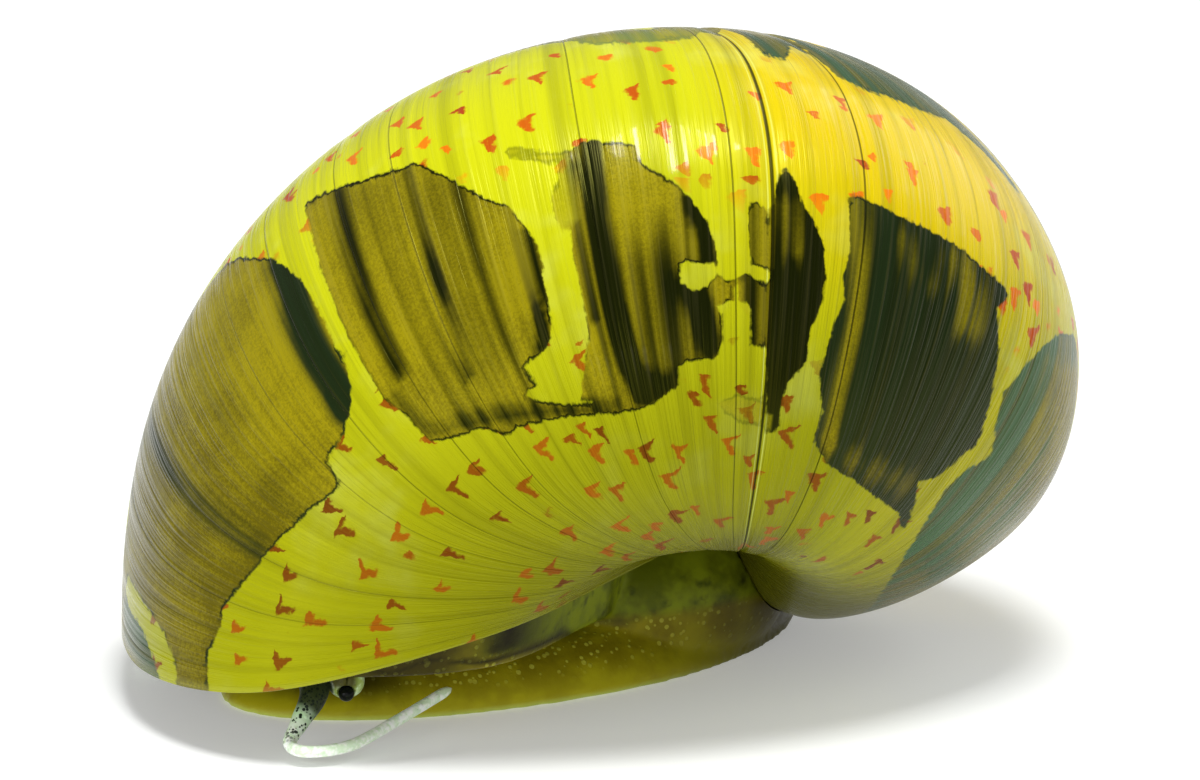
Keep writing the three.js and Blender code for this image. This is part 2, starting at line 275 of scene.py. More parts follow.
class Forms:
    """Bmesh shapes shared by the shell and the flesh, in millimetres."""

    ORDER = "ring_order"
    NEARBY = 0.004

    @staticmethod
    def loft(form: bmesh.types.BMesh, loops: Sequence[Sequence[Vector]], capped: bool = True) -> None:
        """Draws a skin through closed loops of equal counts.

        Args:
            form: The bmesh that it is added to.
            loops: The loops, in order.
            capped: Whether both ends are closed at their middles.
        """
        order = form.verts.layers.int.get(Forms.ORDER) or form.verts.layers.int.new(Forms.ORDER)
        count = len(loops[0])
        ring = bmesh.ops.create_circle(form, cap_ends=False, segments=count, radius=1.0)["verts"]
        for index, (vert, place) in enumerate(zip(ring, loops[0])):
            vert[order] = index
            vert.co = place
        edges = list({edge for vert in ring for edge in vert.link_edges})
        first_edges = edges
        for loop in loops[1:]:
            grown = bmesh.ops.extrude_edge_only(form, edges=edges)["geom"]
            edges = [item for item in grown if isinstance(item, bmesh.types.BMEdge)]
            for vert in (item for item in grown if isinstance(item, bmesh.types.BMVert)):
                vert.co = loop[vert[order]]
        if capped:
            Forms.close(form, first_edges)
            Forms.close(form, edges)

    @staticmethod
    def close(form: bmesh.types.BMesh, edges: Sequence[bmesh.types.BMEdge]) -> None:
        """Closes an open loop with a fan about its middle.

        Args:
            form: The bmesh that holds the loop.
            edges: The loop's edges.
        """
        grown = bmesh.ops.extrude_edge_only(form, edges=list(edges))["geom"]
        verts = [item for item in grown if isinstance(item, bmesh.types.BMVert)]
        middle = sum((vert.co for vert in verts), Vector()) / len(verts)
        bmesh.ops.pointmerge(form, verts=verts, merge_co=middle)

    @staticmethod
    def ellipsoid(form: bmesh.types.BMesh, middle: Point, radii: Point, rings: int = 24) -> None:
        """Adds an ellipsoid along the row's axes.

        Args:
            form: The bmesh that it is added to.
            middle: Its middle.
            radii: Its three half sizes.
            rings: How many rings it has from pole to pole.
        """
        place = Matrix.Translation(middle) @ Matrix.Diagonal((*radii, 1.0))
        bmesh.ops.create_uvsphere(form, u_segments=2 * rings, v_segments=rings, radius=1.0, matrix=place)

    @staticmethod
    def tube(form: bmesh.types.BMesh, path: Sequence[Point], radius: Radius, rings: int, sides: int) -> None:
        """Adds a closed round tube along a smooth path.

        Args:
            form: The bmesh that it is added to.
            path: The points that its middle line passes through.
            radius: The tube's radius by its share of the way along.
            rings: How many lengths it has.
            sides: How many sides it has.
        """
        normal = Vector((0.0, 0.0, 1.0))
        loops = []
        for ring in range(rings + 1):
            share = ring / rings
            middle = catmull_rom(path, share)
            ahead, behind = catmull_rom(path, share + Forms.NEARBY), catmull_rom(path, share - Forms.NEARBY)
            tangent = (ahead - behind).normalized()
            normal = (normal - tangent * normal.dot(tangent)).normalized()
            other = tangent.cross(normal)
            turns = [2 * math.pi * side / sides for side in range(sides)]
            ways = [normal * math.cos(turn) + other * math.sin(turn) for turn in turns]
            size = radius(share)
            loops.append([middle + size * way for way in ways])
        Forms.loft(form, loops)

    @staticmethod
    def finished(name: str, form: bmesh.types.BMesh, smooth: bool = True) -> bpy.types.Object:
        """Turns a bmesh in millimetres into an object in metres at the origin.

        Args:
            name: The piece's name.
            form: The bmesh, which is freed.
            smooth: Whether its faces are shaded smooth.

        Returns:
            The new object, linked to the scene.
        """
        bmesh.ops.transform(form, matrix=Matrix.Scale(MM, 4), verts=form.verts)
        mesh = bpy.data.meshes.new(name)
        form.to_mesh(mesh)
        form.free()
        mesh.polygons.foreach_set("use_smooth", [smooth] * len(mesh.polygons))
        piece = bpy.data.objects.new(name, mesh)
        bpy.context.scene.collection.objects.link(piece)
        return piece

    @staticmethod
    def places(mesh: bpy.types.Mesh) -> np.ndarray:
        """Reads a mesh's vertex places.

        Args:
            mesh: The mesh.

        Returns:
            The places in millimetres, one a row.
        """
        values = np.empty(len(mesh.vertices) * 3)
        mesh.vertices.foreach_get("co", values)
        return values.reshape(-1, 3) / MM

    @staticmethod
    def normals(mesh: bpy.types.Mesh) -> np.ndarray:
        """Reads a mesh's vertex normals.

        Args:
            mesh: The mesh.

        Returns:
            The normals, one a row.
        """
        values = np.empty(len(mesh.vertices) * 3)
        mesh.vertex_normals.foreach_get("vector", values)
        return values.reshape(-1, 3)

    @staticmethod
    def paint(mesh: bpy.types.Mesh, name: str, values: np.ndarray) -> None:
        """Stores one number or one direction a vertex for the materials.

        Args:
            mesh: The mesh that gets it.
            name: The attribute's name.
            values: The values, one a vertex.
        """
        kind, key = ("FLOAT", "value") if values.ndim == 1 else ("FLOAT_VECTOR", "vector")
        layer = mesh.attributes.get(name) or mesh.attributes.new(name, kind, "POINT")
        layer.data.foreach_set(key, np.ascontiguousarray(values, dtype=np.float32).ravel())


class Graph:
    """Adds and joins the nodes of one node tree."""

    def __init__(self, tree: bpy.types.NodeTree) -> None:
        """Keeps the tree that the nodes go into.

        Args:
            tree: The node tree of a material or a group.
        """
        self.tree = tree

    def node(self, kind: str, inputs: dict | None = None, **settings: object) -> bpy.types.Node:
        """Adds a node.

        Args:
            kind: The node's type without its ShaderNode prefix.
            inputs: Sockets or values by input name or number.
            settings: The node's own properties.

        Returns:
            The new node.
        """
        node = self.tree.nodes.new("ShaderNode" + kind)
        for key, value in settings.items():
            setattr(node, key, value)
        for key, value in (inputs or {}).items():
            self.feed(node.inputs[key], value)
        return node

    def feed(self, socket: Socket, value: Input) -> None:
        """Links a socket to an input or sets the input's value.

        Args:
            socket: The input to feed.
            value: The socket or the plain value that feeds it.
        """
        if isinstance(value, bpy.types.NodeSocket):
            self.tree.links.new(value, socket)
        else:
            socket.default_value = value

    def math(self, operation: str, first: Input, second: Input = 0.0, third: Input = 0.0) -> Socket:
        """Adds a Math node.

        Args:
            operation: The sum that it does.
            first: Its first value.
            second: Its second value.
            third: Its third value.

        Returns:
            The result.
        """
        return self.node("Math", {0: first, 1: second, 2: third}, operation=operation).outputs[0]

    def times(self, first: Input, second: Input) -> Socket:
        """Returns the product of two values."""
        return self.math("MULTIPLY", first, second)

    def plus(self, first: Input, second: Input) -> Socket:
        """Returns the sum of two values."""
        return self.math("ADD", first, second)

    def minus(self, first: Input, second: Input) -> Socket:
        """Returns the first value less the second."""
        return self.math("SUBTRACT", first, second)

    def size(self, value: Input) -> Socket:
        """Returns a value without its sign."""
        return self.math("ABSOLUTE", value)

    def vector(self, operation: str, first: Input, second: Input = (0.0, 0.0, 0.0)) -> bpy.types.Node:
        """Returns a new Vector Math node that works on two vectors."""
        return self.node("VectorMath", {0: first, 1: second}, operation=operation)

    def scaled(self, vector: Input, factor: float) -> Socket:
        """Returns a vector made longer or shorter by a factor."""
        return self.node("VectorMath", {0: vector, "Scale": factor}, operation="SCALE").outputs[0]

    def ease(self, value: Input, low: Input, high: Input, start: float = 0.0, end: float = 1.0) -> Socket:
        """Eases a value between two limits.

        Args:
            value: The value to ease.
            low: The value that gives start.
            high: The value that gives end.
            start: The result at low.
            end: The result at high.

        Returns:
            The eased value.
        """
        inputs = {0: value, 1: low, 2: high, 3: start, 4: end}
        return self.node("MapRange", inputs, interpolation_type="SMOOTHSTEP").outputs[0]

    def ramp(self, value: Input, ramp: Ramp) -> Socket:
        """Returns a value eased along a ramp."""
        return self.ease(value, ramp.low, ramp.high, ramp.start, ramp.end)

    def mix(self, share: Input, first: Input, second: Input) -> Socket:
        """Mixes two colours.

        Args:
            share: How much of the second is used.
            first: The first colour.
            second: The second colour.

        Returns:
            The mixed colour.
        """
        return self.node("Mix", {0: share, 6: first, 7: second}, data_type="RGBA").outputs[2]

    def layers(self, ground: Input, *layers: tuple[Input, Input]) -> Socket:
        """Lays colours over a ground, one after another.

        Args:
            ground: The lowest colour.
            layers: How much of each layer shows, and its colour.

        Returns:
            The colour on top.
        """
        for share, colour in layers:
            ground = self.mix(share, ground, colour)
        return ground

    def attribute(self, name: str) -> bpy.types.Node:
        """Returns a node that reads one of the piece's own attributes."""
        return self.node("Attribute", attribute_name=name)

    def number(self, name: str) -> Socket:
        """Returns one of the piece's own attributes as a number."""
        return self.attribute(name).outputs["Fac"]

    def place(self) -> Socket:
        """Returns the place on the piece in metres."""
        return self.node("TexCoord").outputs["Object"]

    def noise(self, vector: Input, cloud: Cloud) -> Mapping[str, Socket]:
        """Adds a noise.

        Args:
            vector: Where it is read.
            cloud: Its fineness and layers.

        Returns:
            The noise as Fac, from 0 to 1 about 0.5, and as Color, three such noises.
        """
        layers = {"Scale": cloud.scale, "Detail": cloud.detail, "Roughness": cloud.roughness}
        return self.node("TexNoise", {"Vector": vector, **layers}).outputs

    def clouds(self, cloud: Cloud) -> Socket:
        """Returns a noise over the piece, from 0 to 1 about 0.5."""
        return self.noise(self.place(), cloud)["Fac"]

    def uneven(self, value: Input, height: float) -> Socket:
        """Returns a noise's swing to both sides of 0, by half a height each way."""
        return self.times(self.minus(value, NOISE_MIDDLE), height)

    def bump(self, shader: bpy.types.Node, height: Socket, strength: float, distance: float) -> None:
        """Feeds a shader's normal from a height.

        Args:
            shader: The shader.
            height: The height.
            strength: How strong the relief is.
            distance: How deep it is in metres at a height of 1.
        """
        node = self.node("Bump", {"Height": height, "Strength": strength, "Distance": distance})
        self.feed(shader.inputs["Normal"], node.outputs[0])

    def group(self, tree: bpy.types.NodeTree, inputs: dict) -> bpy.types.Node:
        """Places a node group.

        Args:
            tree: The group.
            inputs: Sockets or values by input name.

        Returns:
            The group's node.
        """
        node = self.node("Group", node_tree=tree)
        for key, value in inputs.items():
            self.feed(node.inputs[key], value)
        return node


class Effects:
    """Node groups that several finishes use, each built once."""

    NUMBER = "NodeSocketFloat"
    PLACE = "NodeSocketVector"
    ACROSS_SCALE = 3.0
    LINES = Cloud(1.15, 3.0, 0.6)
    SHADES = Cloud(0.35, 2.0, 0.6)
    DOT_SIZES = Ramp(0.0, 1.0, 0.5, 1.2)
    DOT_CORE = 0.7

    @classmethod
    def _new(cls, name: str, inputs: dict[str, str], outputs: Sequence[str]) -> bpy.types.NodeTree:
        """Starts a node group.

        Args:
            name: The group's name.
            inputs: The kind of each input by its name.
            outputs: The names of its number outputs.

        Returns:
            The group, with its input and output nodes.
        """
        tree = bpy.data.node_groups.new(name, "ShaderNodeTree")
        for label, kind in inputs.items():
            tree.interface.new_socket(label, in_out="INPUT", socket_type=kind)
        for label in outputs:
            tree.interface.new_socket(label, in_out="OUTPUT", socket_type=cls.NUMBER)
        tree.nodes.new("NodeGroupInput")
        tree.nodes.new("NodeGroupOutput")
        return tree

    @classmethod
    @cache
    def growth_lines(cls) -> bpy.types.NodeTree:
        """Returns the group for fine lines that follow the growing edge.

        Returns:
            A group that gives the lines as a height and as a broader shade, both about 0.5.
        """
        inputs = {"Age": cls.NUMBER, "Across": cls.NUMBER, "Fineness": cls.NUMBER}
        tree = cls._new("growth_lines", inputs, ("Height", "Shade"))
        graph = Graph(tree)
        source, target = tree.nodes[0].outputs, tree.nodes[1].inputs
        age = graph.times(source["Age"], source["Fineness"])
        slow = graph.times(source["Across"], cls.ACROSS_SCALE)
        place = graph.node("CombineXYZ", {0: age, 1: slow}).outputs[0]
        graph.feed(target["Height"], graph.noise(place, cls.LINES)["Fac"])
        graph.feed(target["Shade"], graph.noise(place, cls.SHADES)["Fac"])
        return tree

    @classmethod
    @cache
    def speckle(cls) -> bpy.types.NodeTree:
        """Returns the group for small round dots scattered over a surface.

        Returns:
            A group that gives the dots as a mask, 1 inside a dot.
        """
        tree = cls._new("speckle", {"Place": cls.PLACE, "Scale": cls.NUMBER, "Size": cls.NUMBER}, ("Dots",))
        graph = Graph(tree)
        source, target = tree.nodes[0].outputs, tree.nodes[1].inputs
        cells = graph.node("TexVoronoi", {"Vector": source["Place"], "Scale": source["Scale"]})
        size = graph.times(source["Size"], graph.ramp(cells.outputs["Color"], cls.DOT_SIZES))
        inner = graph.times(size, cls.DOT_CORE)
        graph.feed(target["Dots"], graph.ease(cells.outputs["Distance"], inner, size, 1.0, 0.0))
        return tree


def new_material(name: str, shine: dict) -> tuple[bpy.types.Material, Graph, bpy.types.Node]:
    """Starts a material around one Principled shader.

    Args:
        name: The material's name.
        shine: Constant values of the shader's own sockets.

    Returns:
        The material, its graph and its shader node.
    """
    material = bpy.data.materials.new(name)
    material.use_nodes = True
    graph = Graph(material.node_tree)
    shader = material.node_tree.nodes["Principled BSDF"]
    for key, value in shine.items():
        shader.inputs[key].default_value = value
    return material, graph, shader


@dataclass(frozen=True)
class Patch:
    """One dark patch of the shell's left side, by its outline in the photograph."""

    name: str
    outline: tuple[Pixel, ...]
    tone: float = 0.0
    # The teal share paints a teal sheen, a painted reflection, on dark patches near the shell's edges.
    painted_teal_sheen: float = 0.0
    strength: float = 1.0


@dataclass(frozen=True)
class Streak:
    """One darker band along the growth lines, by its path in the photograph."""

    name: str
    half_width: float
    strength: float
    path: tuple[Pixel, ...]


# Teal shares paint a teal sheen, a painted reflection, on patches along the shell's edges and crown.
PATCHES = (
    Patch("front", (
        (100, 380), (180, 300), (234, 258), (270, 257), (288, 268), (306, 287), (318, 308), (330, 335),
        (345, 362), (352, 386), (351, 410), (342, 437), (327, 461), (343, 486), (312, 509), (270, 551),
        (240, 587), (225, 608), (219, 629), (209, 655), (208, 700), (180, 700), (176, 668), (168, 640),
        (147, 606), (128, 575), (90, 500),
    ), tone=0.05, painted_teal_sheen=0.12),
    Patch("front corner", (
        (100, 590), (125, 600), (143, 630), (156, 662), (164, 700), (100, 700),
    ), tone=0.75, painted_teal_sheen=0.8),
    Patch("second", (
        (303, 203), (335, 188), (370, 177), (400, 168), (415, 162), (442, 174), (461, 184), (477, 193),
        (508, 207), (531, 231), (543, 266), (551, 316), (553, 337), (546, 351), (522, 368), (538, 382),
        (524, 398), (548, 402), (595, 403), (614, 416), (571, 416), (517, 428), (511, 437), (484, 429),
        (465, 436), (430, 443), (408, 418), (384, 398), (369, 374), (350, 340), (335, 305), (322, 270),
        (312, 235),
    ), tone=0.1),
    Patch("third", (
        (569, 152), (583, 139), (605, 142), (637, 142), (638, 160), (666, 177), (680, 188), (694, 203),
        (706, 219), (713, 238), (717, 264), (701, 264), (680, 257), (680, 283), (694, 291), (711, 287),
        (713, 272), (736, 284), (737, 302), (716, 303), (723, 323), (723, 344), (713, 361), (685, 361),
        (678, 367), (680, 384), (666, 396), (645, 408), (614, 416), (590, 404), (581, 387), (588, 337),
        (587, 316), (576, 266), (571, 240),
    ), tone=0.12),
    Patch("third, pale lobe", (
        (553, 191), (560, 172), (571, 165), (575, 245), (562, 231), (553, 214),
    ), strength=0.6),
    Patch("pale bar", (
        (498, 147), (524, 147), (555, 152), (570, 155), (570, 170), (534, 162), (512, 160),
    ), strength=0.5),
    Patch("narrow upper", (
        (747, 203), (757, 199), (766, 210), (771, 240), (771, 268), (750, 266),
    ), tone=0.3, strength=0.95),
    Patch("narrow lower", (
        (734, 268), (749, 273), (770, 290), (770, 330), (762, 350), (750, 346), (752, 310), (738, 285),
    ), tone=0.5),
    Patch("black", (
        (777, 163), (785, 165), (794, 181), (805, 207), (816, 225), (823, 245), (826, 277), (822, 301),
        (811, 330), (807, 362), (785, 385), (778, 430), (764, 434), (768, 330), (772, 230),
    ), tone=1.0),
    Patch("rear", (
        (847, 192), (865, 199), (896, 214), (930, 230), (954, 243), (977, 261), (1001, 283), (1011, 297),
        (997, 308), (999, 340), (995, 380), (988, 410), (978, 442), (955, 462), (935, 479), (920, 482),
        (914, 508), (902, 534), (898, 514), (880, 500), (850, 478), (828, 465), (812, 440), (822, 410),
        (818, 380), (826, 350), (834, 326), (845, 299), (843, 272), (851, 250),
    ), tone=1.0, painted_teal_sheen=0.12),
    Patch("rearmost", (
        (1120, 330), (1056, 335), (1040, 348), (1022, 370), (1004, 392), (996, 430), (990, 456),
        (962, 474), (938, 500), (921, 529), (908, 550), (890, 580), (872, 606), (872, 640), (1000, 610),
        (1120, 500),
    ), tone=0.7, painted_teal_sheen=1.0),
    Patch("faint smudge", (
        (716, 402), (738, 394), (766, 400), (766, 428), (742, 424), (724, 414),
    ), strength=0.4),
    Patch("crown front", (
        (565, 20), (575, 43), (600, 45), (650, 42), (695, 38), (705, 20),
    ), tone=0.5, painted_teal_sheen=1.0, strength=0.7),
    Patch("crown middle", (
        (742, 20), (745, 37), (762, 54), (788, 61), (790, 50), (780, 20),
    ), tone=0.7, painted_teal_sheen=0.9),
    Patch("crown rear", (
        (790, 20), (800, 45), (818, 60), (840, 78), (865, 89), (907, 105), (954, 123), (983, 149),
        (1026, 198), (1044, 224), (1090, 250), (1090, 20),
    ), tone=0.7, painted_teal_sheen=0.9),
)

STREAKS = (
    Streak("front, dark rear edge", 13.0, 1.3, (
        (281, 262), (290, 285), (297, 310), (305, 332), (317, 357), (334, 384), (346, 410),
    )),
    Streak("front, cool band", 12.0, 0.5, ((140, 415), (165, 460), (202, 498), (233, 523), (262, 545))),
    Streak("front, faint band", 9.0, 0.2, ((205, 300), (222, 350), (262, 440))),
    # Painted light: the patch lighter at its top.
    Streak("front, pale top", 20.0, -0.25, ((232, 280), (246, 300))),
    Streak("second, dark band", 11.0, 0.9, ((340, 190), (352, 245), (372, 310), (400, 370))),
    Streak("second, thin line", 4.0, 0.6, ((408, 168), (425, 230), (445, 310), (470, 380))),
    # Painted shade: the patch darker lower down.
    Streak("second, broad shade", 58.0, 0.22, ((455, 205), (468, 280), (484, 345))),
    Streak("second, rear edge", 8.0, 0.9, ((529, 228), (542, 290), (544, 350))),
    Streak("second, lower edge", 11.0, 0.55, ((395, 400), (430, 430), (490, 416), (560, 410), (610, 408))),
    # Painted light: the patch lighter at its top.
    Streak("third, pale top", 22.0, -0.4, ((625, 165), (658, 192))),
    Streak("third, black band", 8.5, 1.5, (
        (590, 142), (593, 170), (597, 217), (604, 260), (611, 300), (620, 335), (630, 365), (645, 397),
    )),
    Streak("third, thin line", 3.0, 0.5, ((571, 160), (577, 235), (594, 320))),
    # Painted shade: the patch darker lower down.
    Streak("third, broad shade", 40.0, 0.42, ((648, 275), (652, 350))),
    Streak("third, upper rear edge", 9.0, 0.9, ((690, 200), (708, 235), (712, 262))),
    Streak("third, rear edge", 14.0, 0.8, ((690, 285), (702, 310), (712, 345))),
    Streak("third, lower corner", 12.0, 0.7, ((655, 385), (676, 385))),
    Streak("black, brown top", 14.0, -0.4, ((788, 205), (795, 250))),
    Streak("rear, pale front edge", 10.0, -0.8, (
        (855, 200), (857, 260), (852, 320), (836, 390), (826, 440),
    )),
    Streak("rear, brown band", 17.0, -0.5, ((960, 258), (970, 295), (968, 325))),
    Streak("rear, brown top", 16.0, -0.3, ((905, 240), (925, 285))),
    Streak("rear, pale lower edge", 18.0, -0.45, ((835, 450), (868, 470), (900, 482))),
    Streak("rearmost, pale band", 9.0, -0.3, ((1050, 360), (1030, 460), (960, 560))),
    Streak("rearmost, brown foot", 16.0, -0.35, ((915, 580), (890, 600))),
    # Painted light: a pale margin along the shell's outline at the rear.
    Streak("rearmost, pale margin", 14.0, -0.75, ((1074, 380), (1060, 452), (1028, 520), (985, 566))),
)


@dataclass(frozen=True)
class Markings:
    """Turns the patches and streaks into values on the shell's own surface."""

    growth: Growth
    view: Viewpoint
    px_per_mm: float = 40.0
    deepest: float = 3.0
    facing_share: Ramp = Ramp(0.0, 0.16)
    young_share: Ramp = Ramp(235.0, 260.0, 1.0, 0.0)
    edged_share: Ramp = Ramp(-0.95, -0.3)
    band_middles: tuple[float, ...] = (0.41, 0.73)
    band_halves: tuple[float, ...] = (0.105, 0.085)
    lip_length: float = 40.0
    girth: float = 9.0
    stripe_period: float = 34.0
    stripe_half: float = 3.2
    stripe_lean: float = 38.0
    wander_age: float = 21.0
    wander_across: float = 5.0
    band_wander: float = 0.035
    stripe_wander: float = 9.0
    hidden_tone: float = 0.15
    hidden_tone_range: float = 0.5
    # hidden_teal is the painted teal sheen laid on the invented patches.
    hidden_teal: float = 0.35
    hidden_edge: float = 0.8

    def seen(self, places: np.ndarray, normals: np.ndarray, age: np.ndarray) -> np.ndarray:
        """Weighs how far each place belongs to the photographed side.

        Args:
            places: The surface's places.
            normals: Its directions.
            age: Its ages in degrees.

        Returns:
            1 on the photographed side and 0 on the far side and the old whorls.
        """
        return self.facing_share.at(self.view.facing(places, normals)) * self.young_share.at(age)

    def drawn(self, pixels: np.ndarray) -> dict[str, np.ndarray]:
        """Reads the patches of the photographed side.

        Args:
            pixels: The surface's places in the photograph's frame.

        Returns:
            The depth in millimetres inside a patch, and its tone, share of painted teal sheen, strength and
            dark edge.
        """
        count = len(pixels)
        depth = np.full(count, -self.deepest)
        told = {name: np.zeros(count) for name in ("tone", "painted_teal_sheen", "strength", "edged")}
        told["strength"] += 1.0
        for patch in PATCHES:
            inside, rightward = distance_inside(pixels, patch.outline)
            inside = inside / self.px_per_mm
            nearer = inside > depth
            depth = np.where(nearer, inside, depth)
            here = (patch.tone, patch.painted_teal_sheen, patch.strength, self.edged_share.at(rightward))
            for name, value in zip(told, here):
                told[name] = np.where(nearer, value, told[name])
        return {"depth": np.clip(depth, -self.deepest, self.deepest), **told}

    def invented(self, age: np.ndarray, across: np.ndarray) -> dict[str, np.ndarray]:
        """Continues the patches over the sides that the photograph doesn't show.

        Args:
            age: The surface's ages in degrees.
            across: Its shares across the lip.

        Returns:
            The depth in millimetres inside a patch, and its tone, share of painted teal sheen, strength and
            dark edge.
        """
        spots = zip(age / self.wander_age, across * self.wander_across)
        wander = np.array([noise.noise(Vector((along, over, 3.0))) for along, over in spots])
        band = np.full(len(age), -1.0)
        for middle, half in zip(self.band_middles, self.band_halves):
            band = np.maximum(band, half + self.band_wander * wander - np.abs(across - middle))
        phase = (age + self.stripe_lean * across + self.stripe_wander * wander) / self.stripe_period
        stripe = np.abs(phase % 1.0 - 0.5) * self.stripe_period
        reach = 0.5 * self.stripe_period - self.stripe_half
        gap = np.radians(reach - stripe) * self.girth
        tone = self.hidden_tone + self.hidden_tone_range * (np.floor(phase) % 3) / 2
        return {
            "depth": np.minimum(band * self.lip_length, gap) * self.growth.size_at(age), "tone": tone,
            "painted_teal_sheen": np.full(len(age), self.hidden_teal), "strength": np.ones(len(age)),
            "edged": np.full(len(age), self.hidden_edge),
        }

    def streaks(self, pixels: np.ndarray) -> np.ndarray:
        """Returns how much darker or lighter the bands make each place, painted shade and painted light
        among them.
        """
        reach = [distance_to_path(pixels, streak.path)[0] / streak.half_width for streak in STREAKS]
        return sum(streak.strength * np.exp(-away**2) for streak, away in zip(STREAKS, reach))


@dataclass(frozen=True)
class Flecks:
    """Small blots with a short arm and a drawn-out tail, by shares of their spacing in millimetres."""

    cell: float
    reach: float
    width: float
    opening: float
    tail: float
    warp_cloud: Cloud = Cloud(2.6, 3.0, 0.6)
    grain_cloud: Cloud = Cloud(7.0, 2.0, 0.7)
    warp: float = 0.38
    scatter_share: float = 0.95
    lean: float = 0.6
    smallest: float = 0.45
    forward: float = 0.1
    core: float = 0.2
    grain: float = 1.2
    tail_side: Ramp = Ramp(-0.02, 0.02, 1.0, 0.0)
    narrowing: Ramp = Ramp(0.0, 1.0, 1.0, 0.12)
    arm_end: Ramp = Ramp(0.75, 1.05, 1.0, 0.0)
    near_root: Ramp = Ramp(0.36, 0.48, 1.0, 0.0)
    filled: Ramp = Ramp(0.2, 0.95)

    def local(self, graph: Graph) -> tuple[Socket, Socket, Socket, Mapping[str, Socket]]:
        """Finds where each place lies beside its nearest fleck's root.

        Args:
            graph: The material's graph.

        Returns:
            The place in cells, how far it lies towards the older shell and across that, and the cells.
        """
        place = graph.scaled(graph.place(), 1.0 / (self.cell * MM))
        warp = graph.noise(place, self.warp_cloud)["Color"]
        warp = graph.vector("SUBTRACT", warp, (NOISE_MIDDLE,) * 3).outputs[0]
        inputs = {"Vector": place, "Scale": 1.0, "Randomness": self.scatter_share}
        cells = graph.node("TexVoronoi", inputs).outputs
        offset = graph.vector("SUBTRACT", place, cells["Position"]).outputs[0]
        offset = graph.vector("ADD", offset, graph.scaled(warp, self.warp)).outputs[0]
        older, crosswise = (graph.attribute(name).outputs["Vector"] for name in ("older", "crosswise"))
        along = graph.vector("DOT_PRODUCT", offset, older).outputs["Value"]
        return place, along, graph.vector("DOT_PRODUCT", offset, crosswise).outputs["Value"], cells

    def scatter(self, graph: Graph) -> tuple[Socket, Socket]:
        """Draws the flecks, each with its own lean and height.

        Args:
            graph: The material's graph.

        Returns:
            The flecks' mask, and one random number a fleck.
        """
        place, along, over, cells = self.local(graph)
        chance = graph.node("SeparateColor", {0: cells["Color"]}).outputs
        over = graph.plus(over, graph.times(graph.uneven(chance[1], self.lean), along))
        away = graph.size(over)
        tall = graph.times(self.reach, graph.plus(chance[2], self.smallest))
        longer = graph.plus(graph.times(graph.ramp(over, self.tail_side), self.tail), 1.0)
        spent = graph.math("DIVIDE", away, graph.times(tall, longer))
        slim = graph.times(self.width, graph.ramp(spent, self.narrowing))
        back = graph.size(graph.minus(graph.plus(along, self.forward), graph.times(away, self.opening)))
        arm = graph.ease(back, graph.times(slim, self.core), slim, 1.0, 0.0)
        near = graph.ramp(cells["Distance"], self.near_root)
        mask = graph.times(graph.times(arm, graph.ramp(spent, self.arm_end)), near)
        grain = graph.uneven(graph.noise(place, self.grain_cloud)["Fac"], self.grain)
        return graph.ramp(graph.plus(mask, grain), self.filled), chance[0]


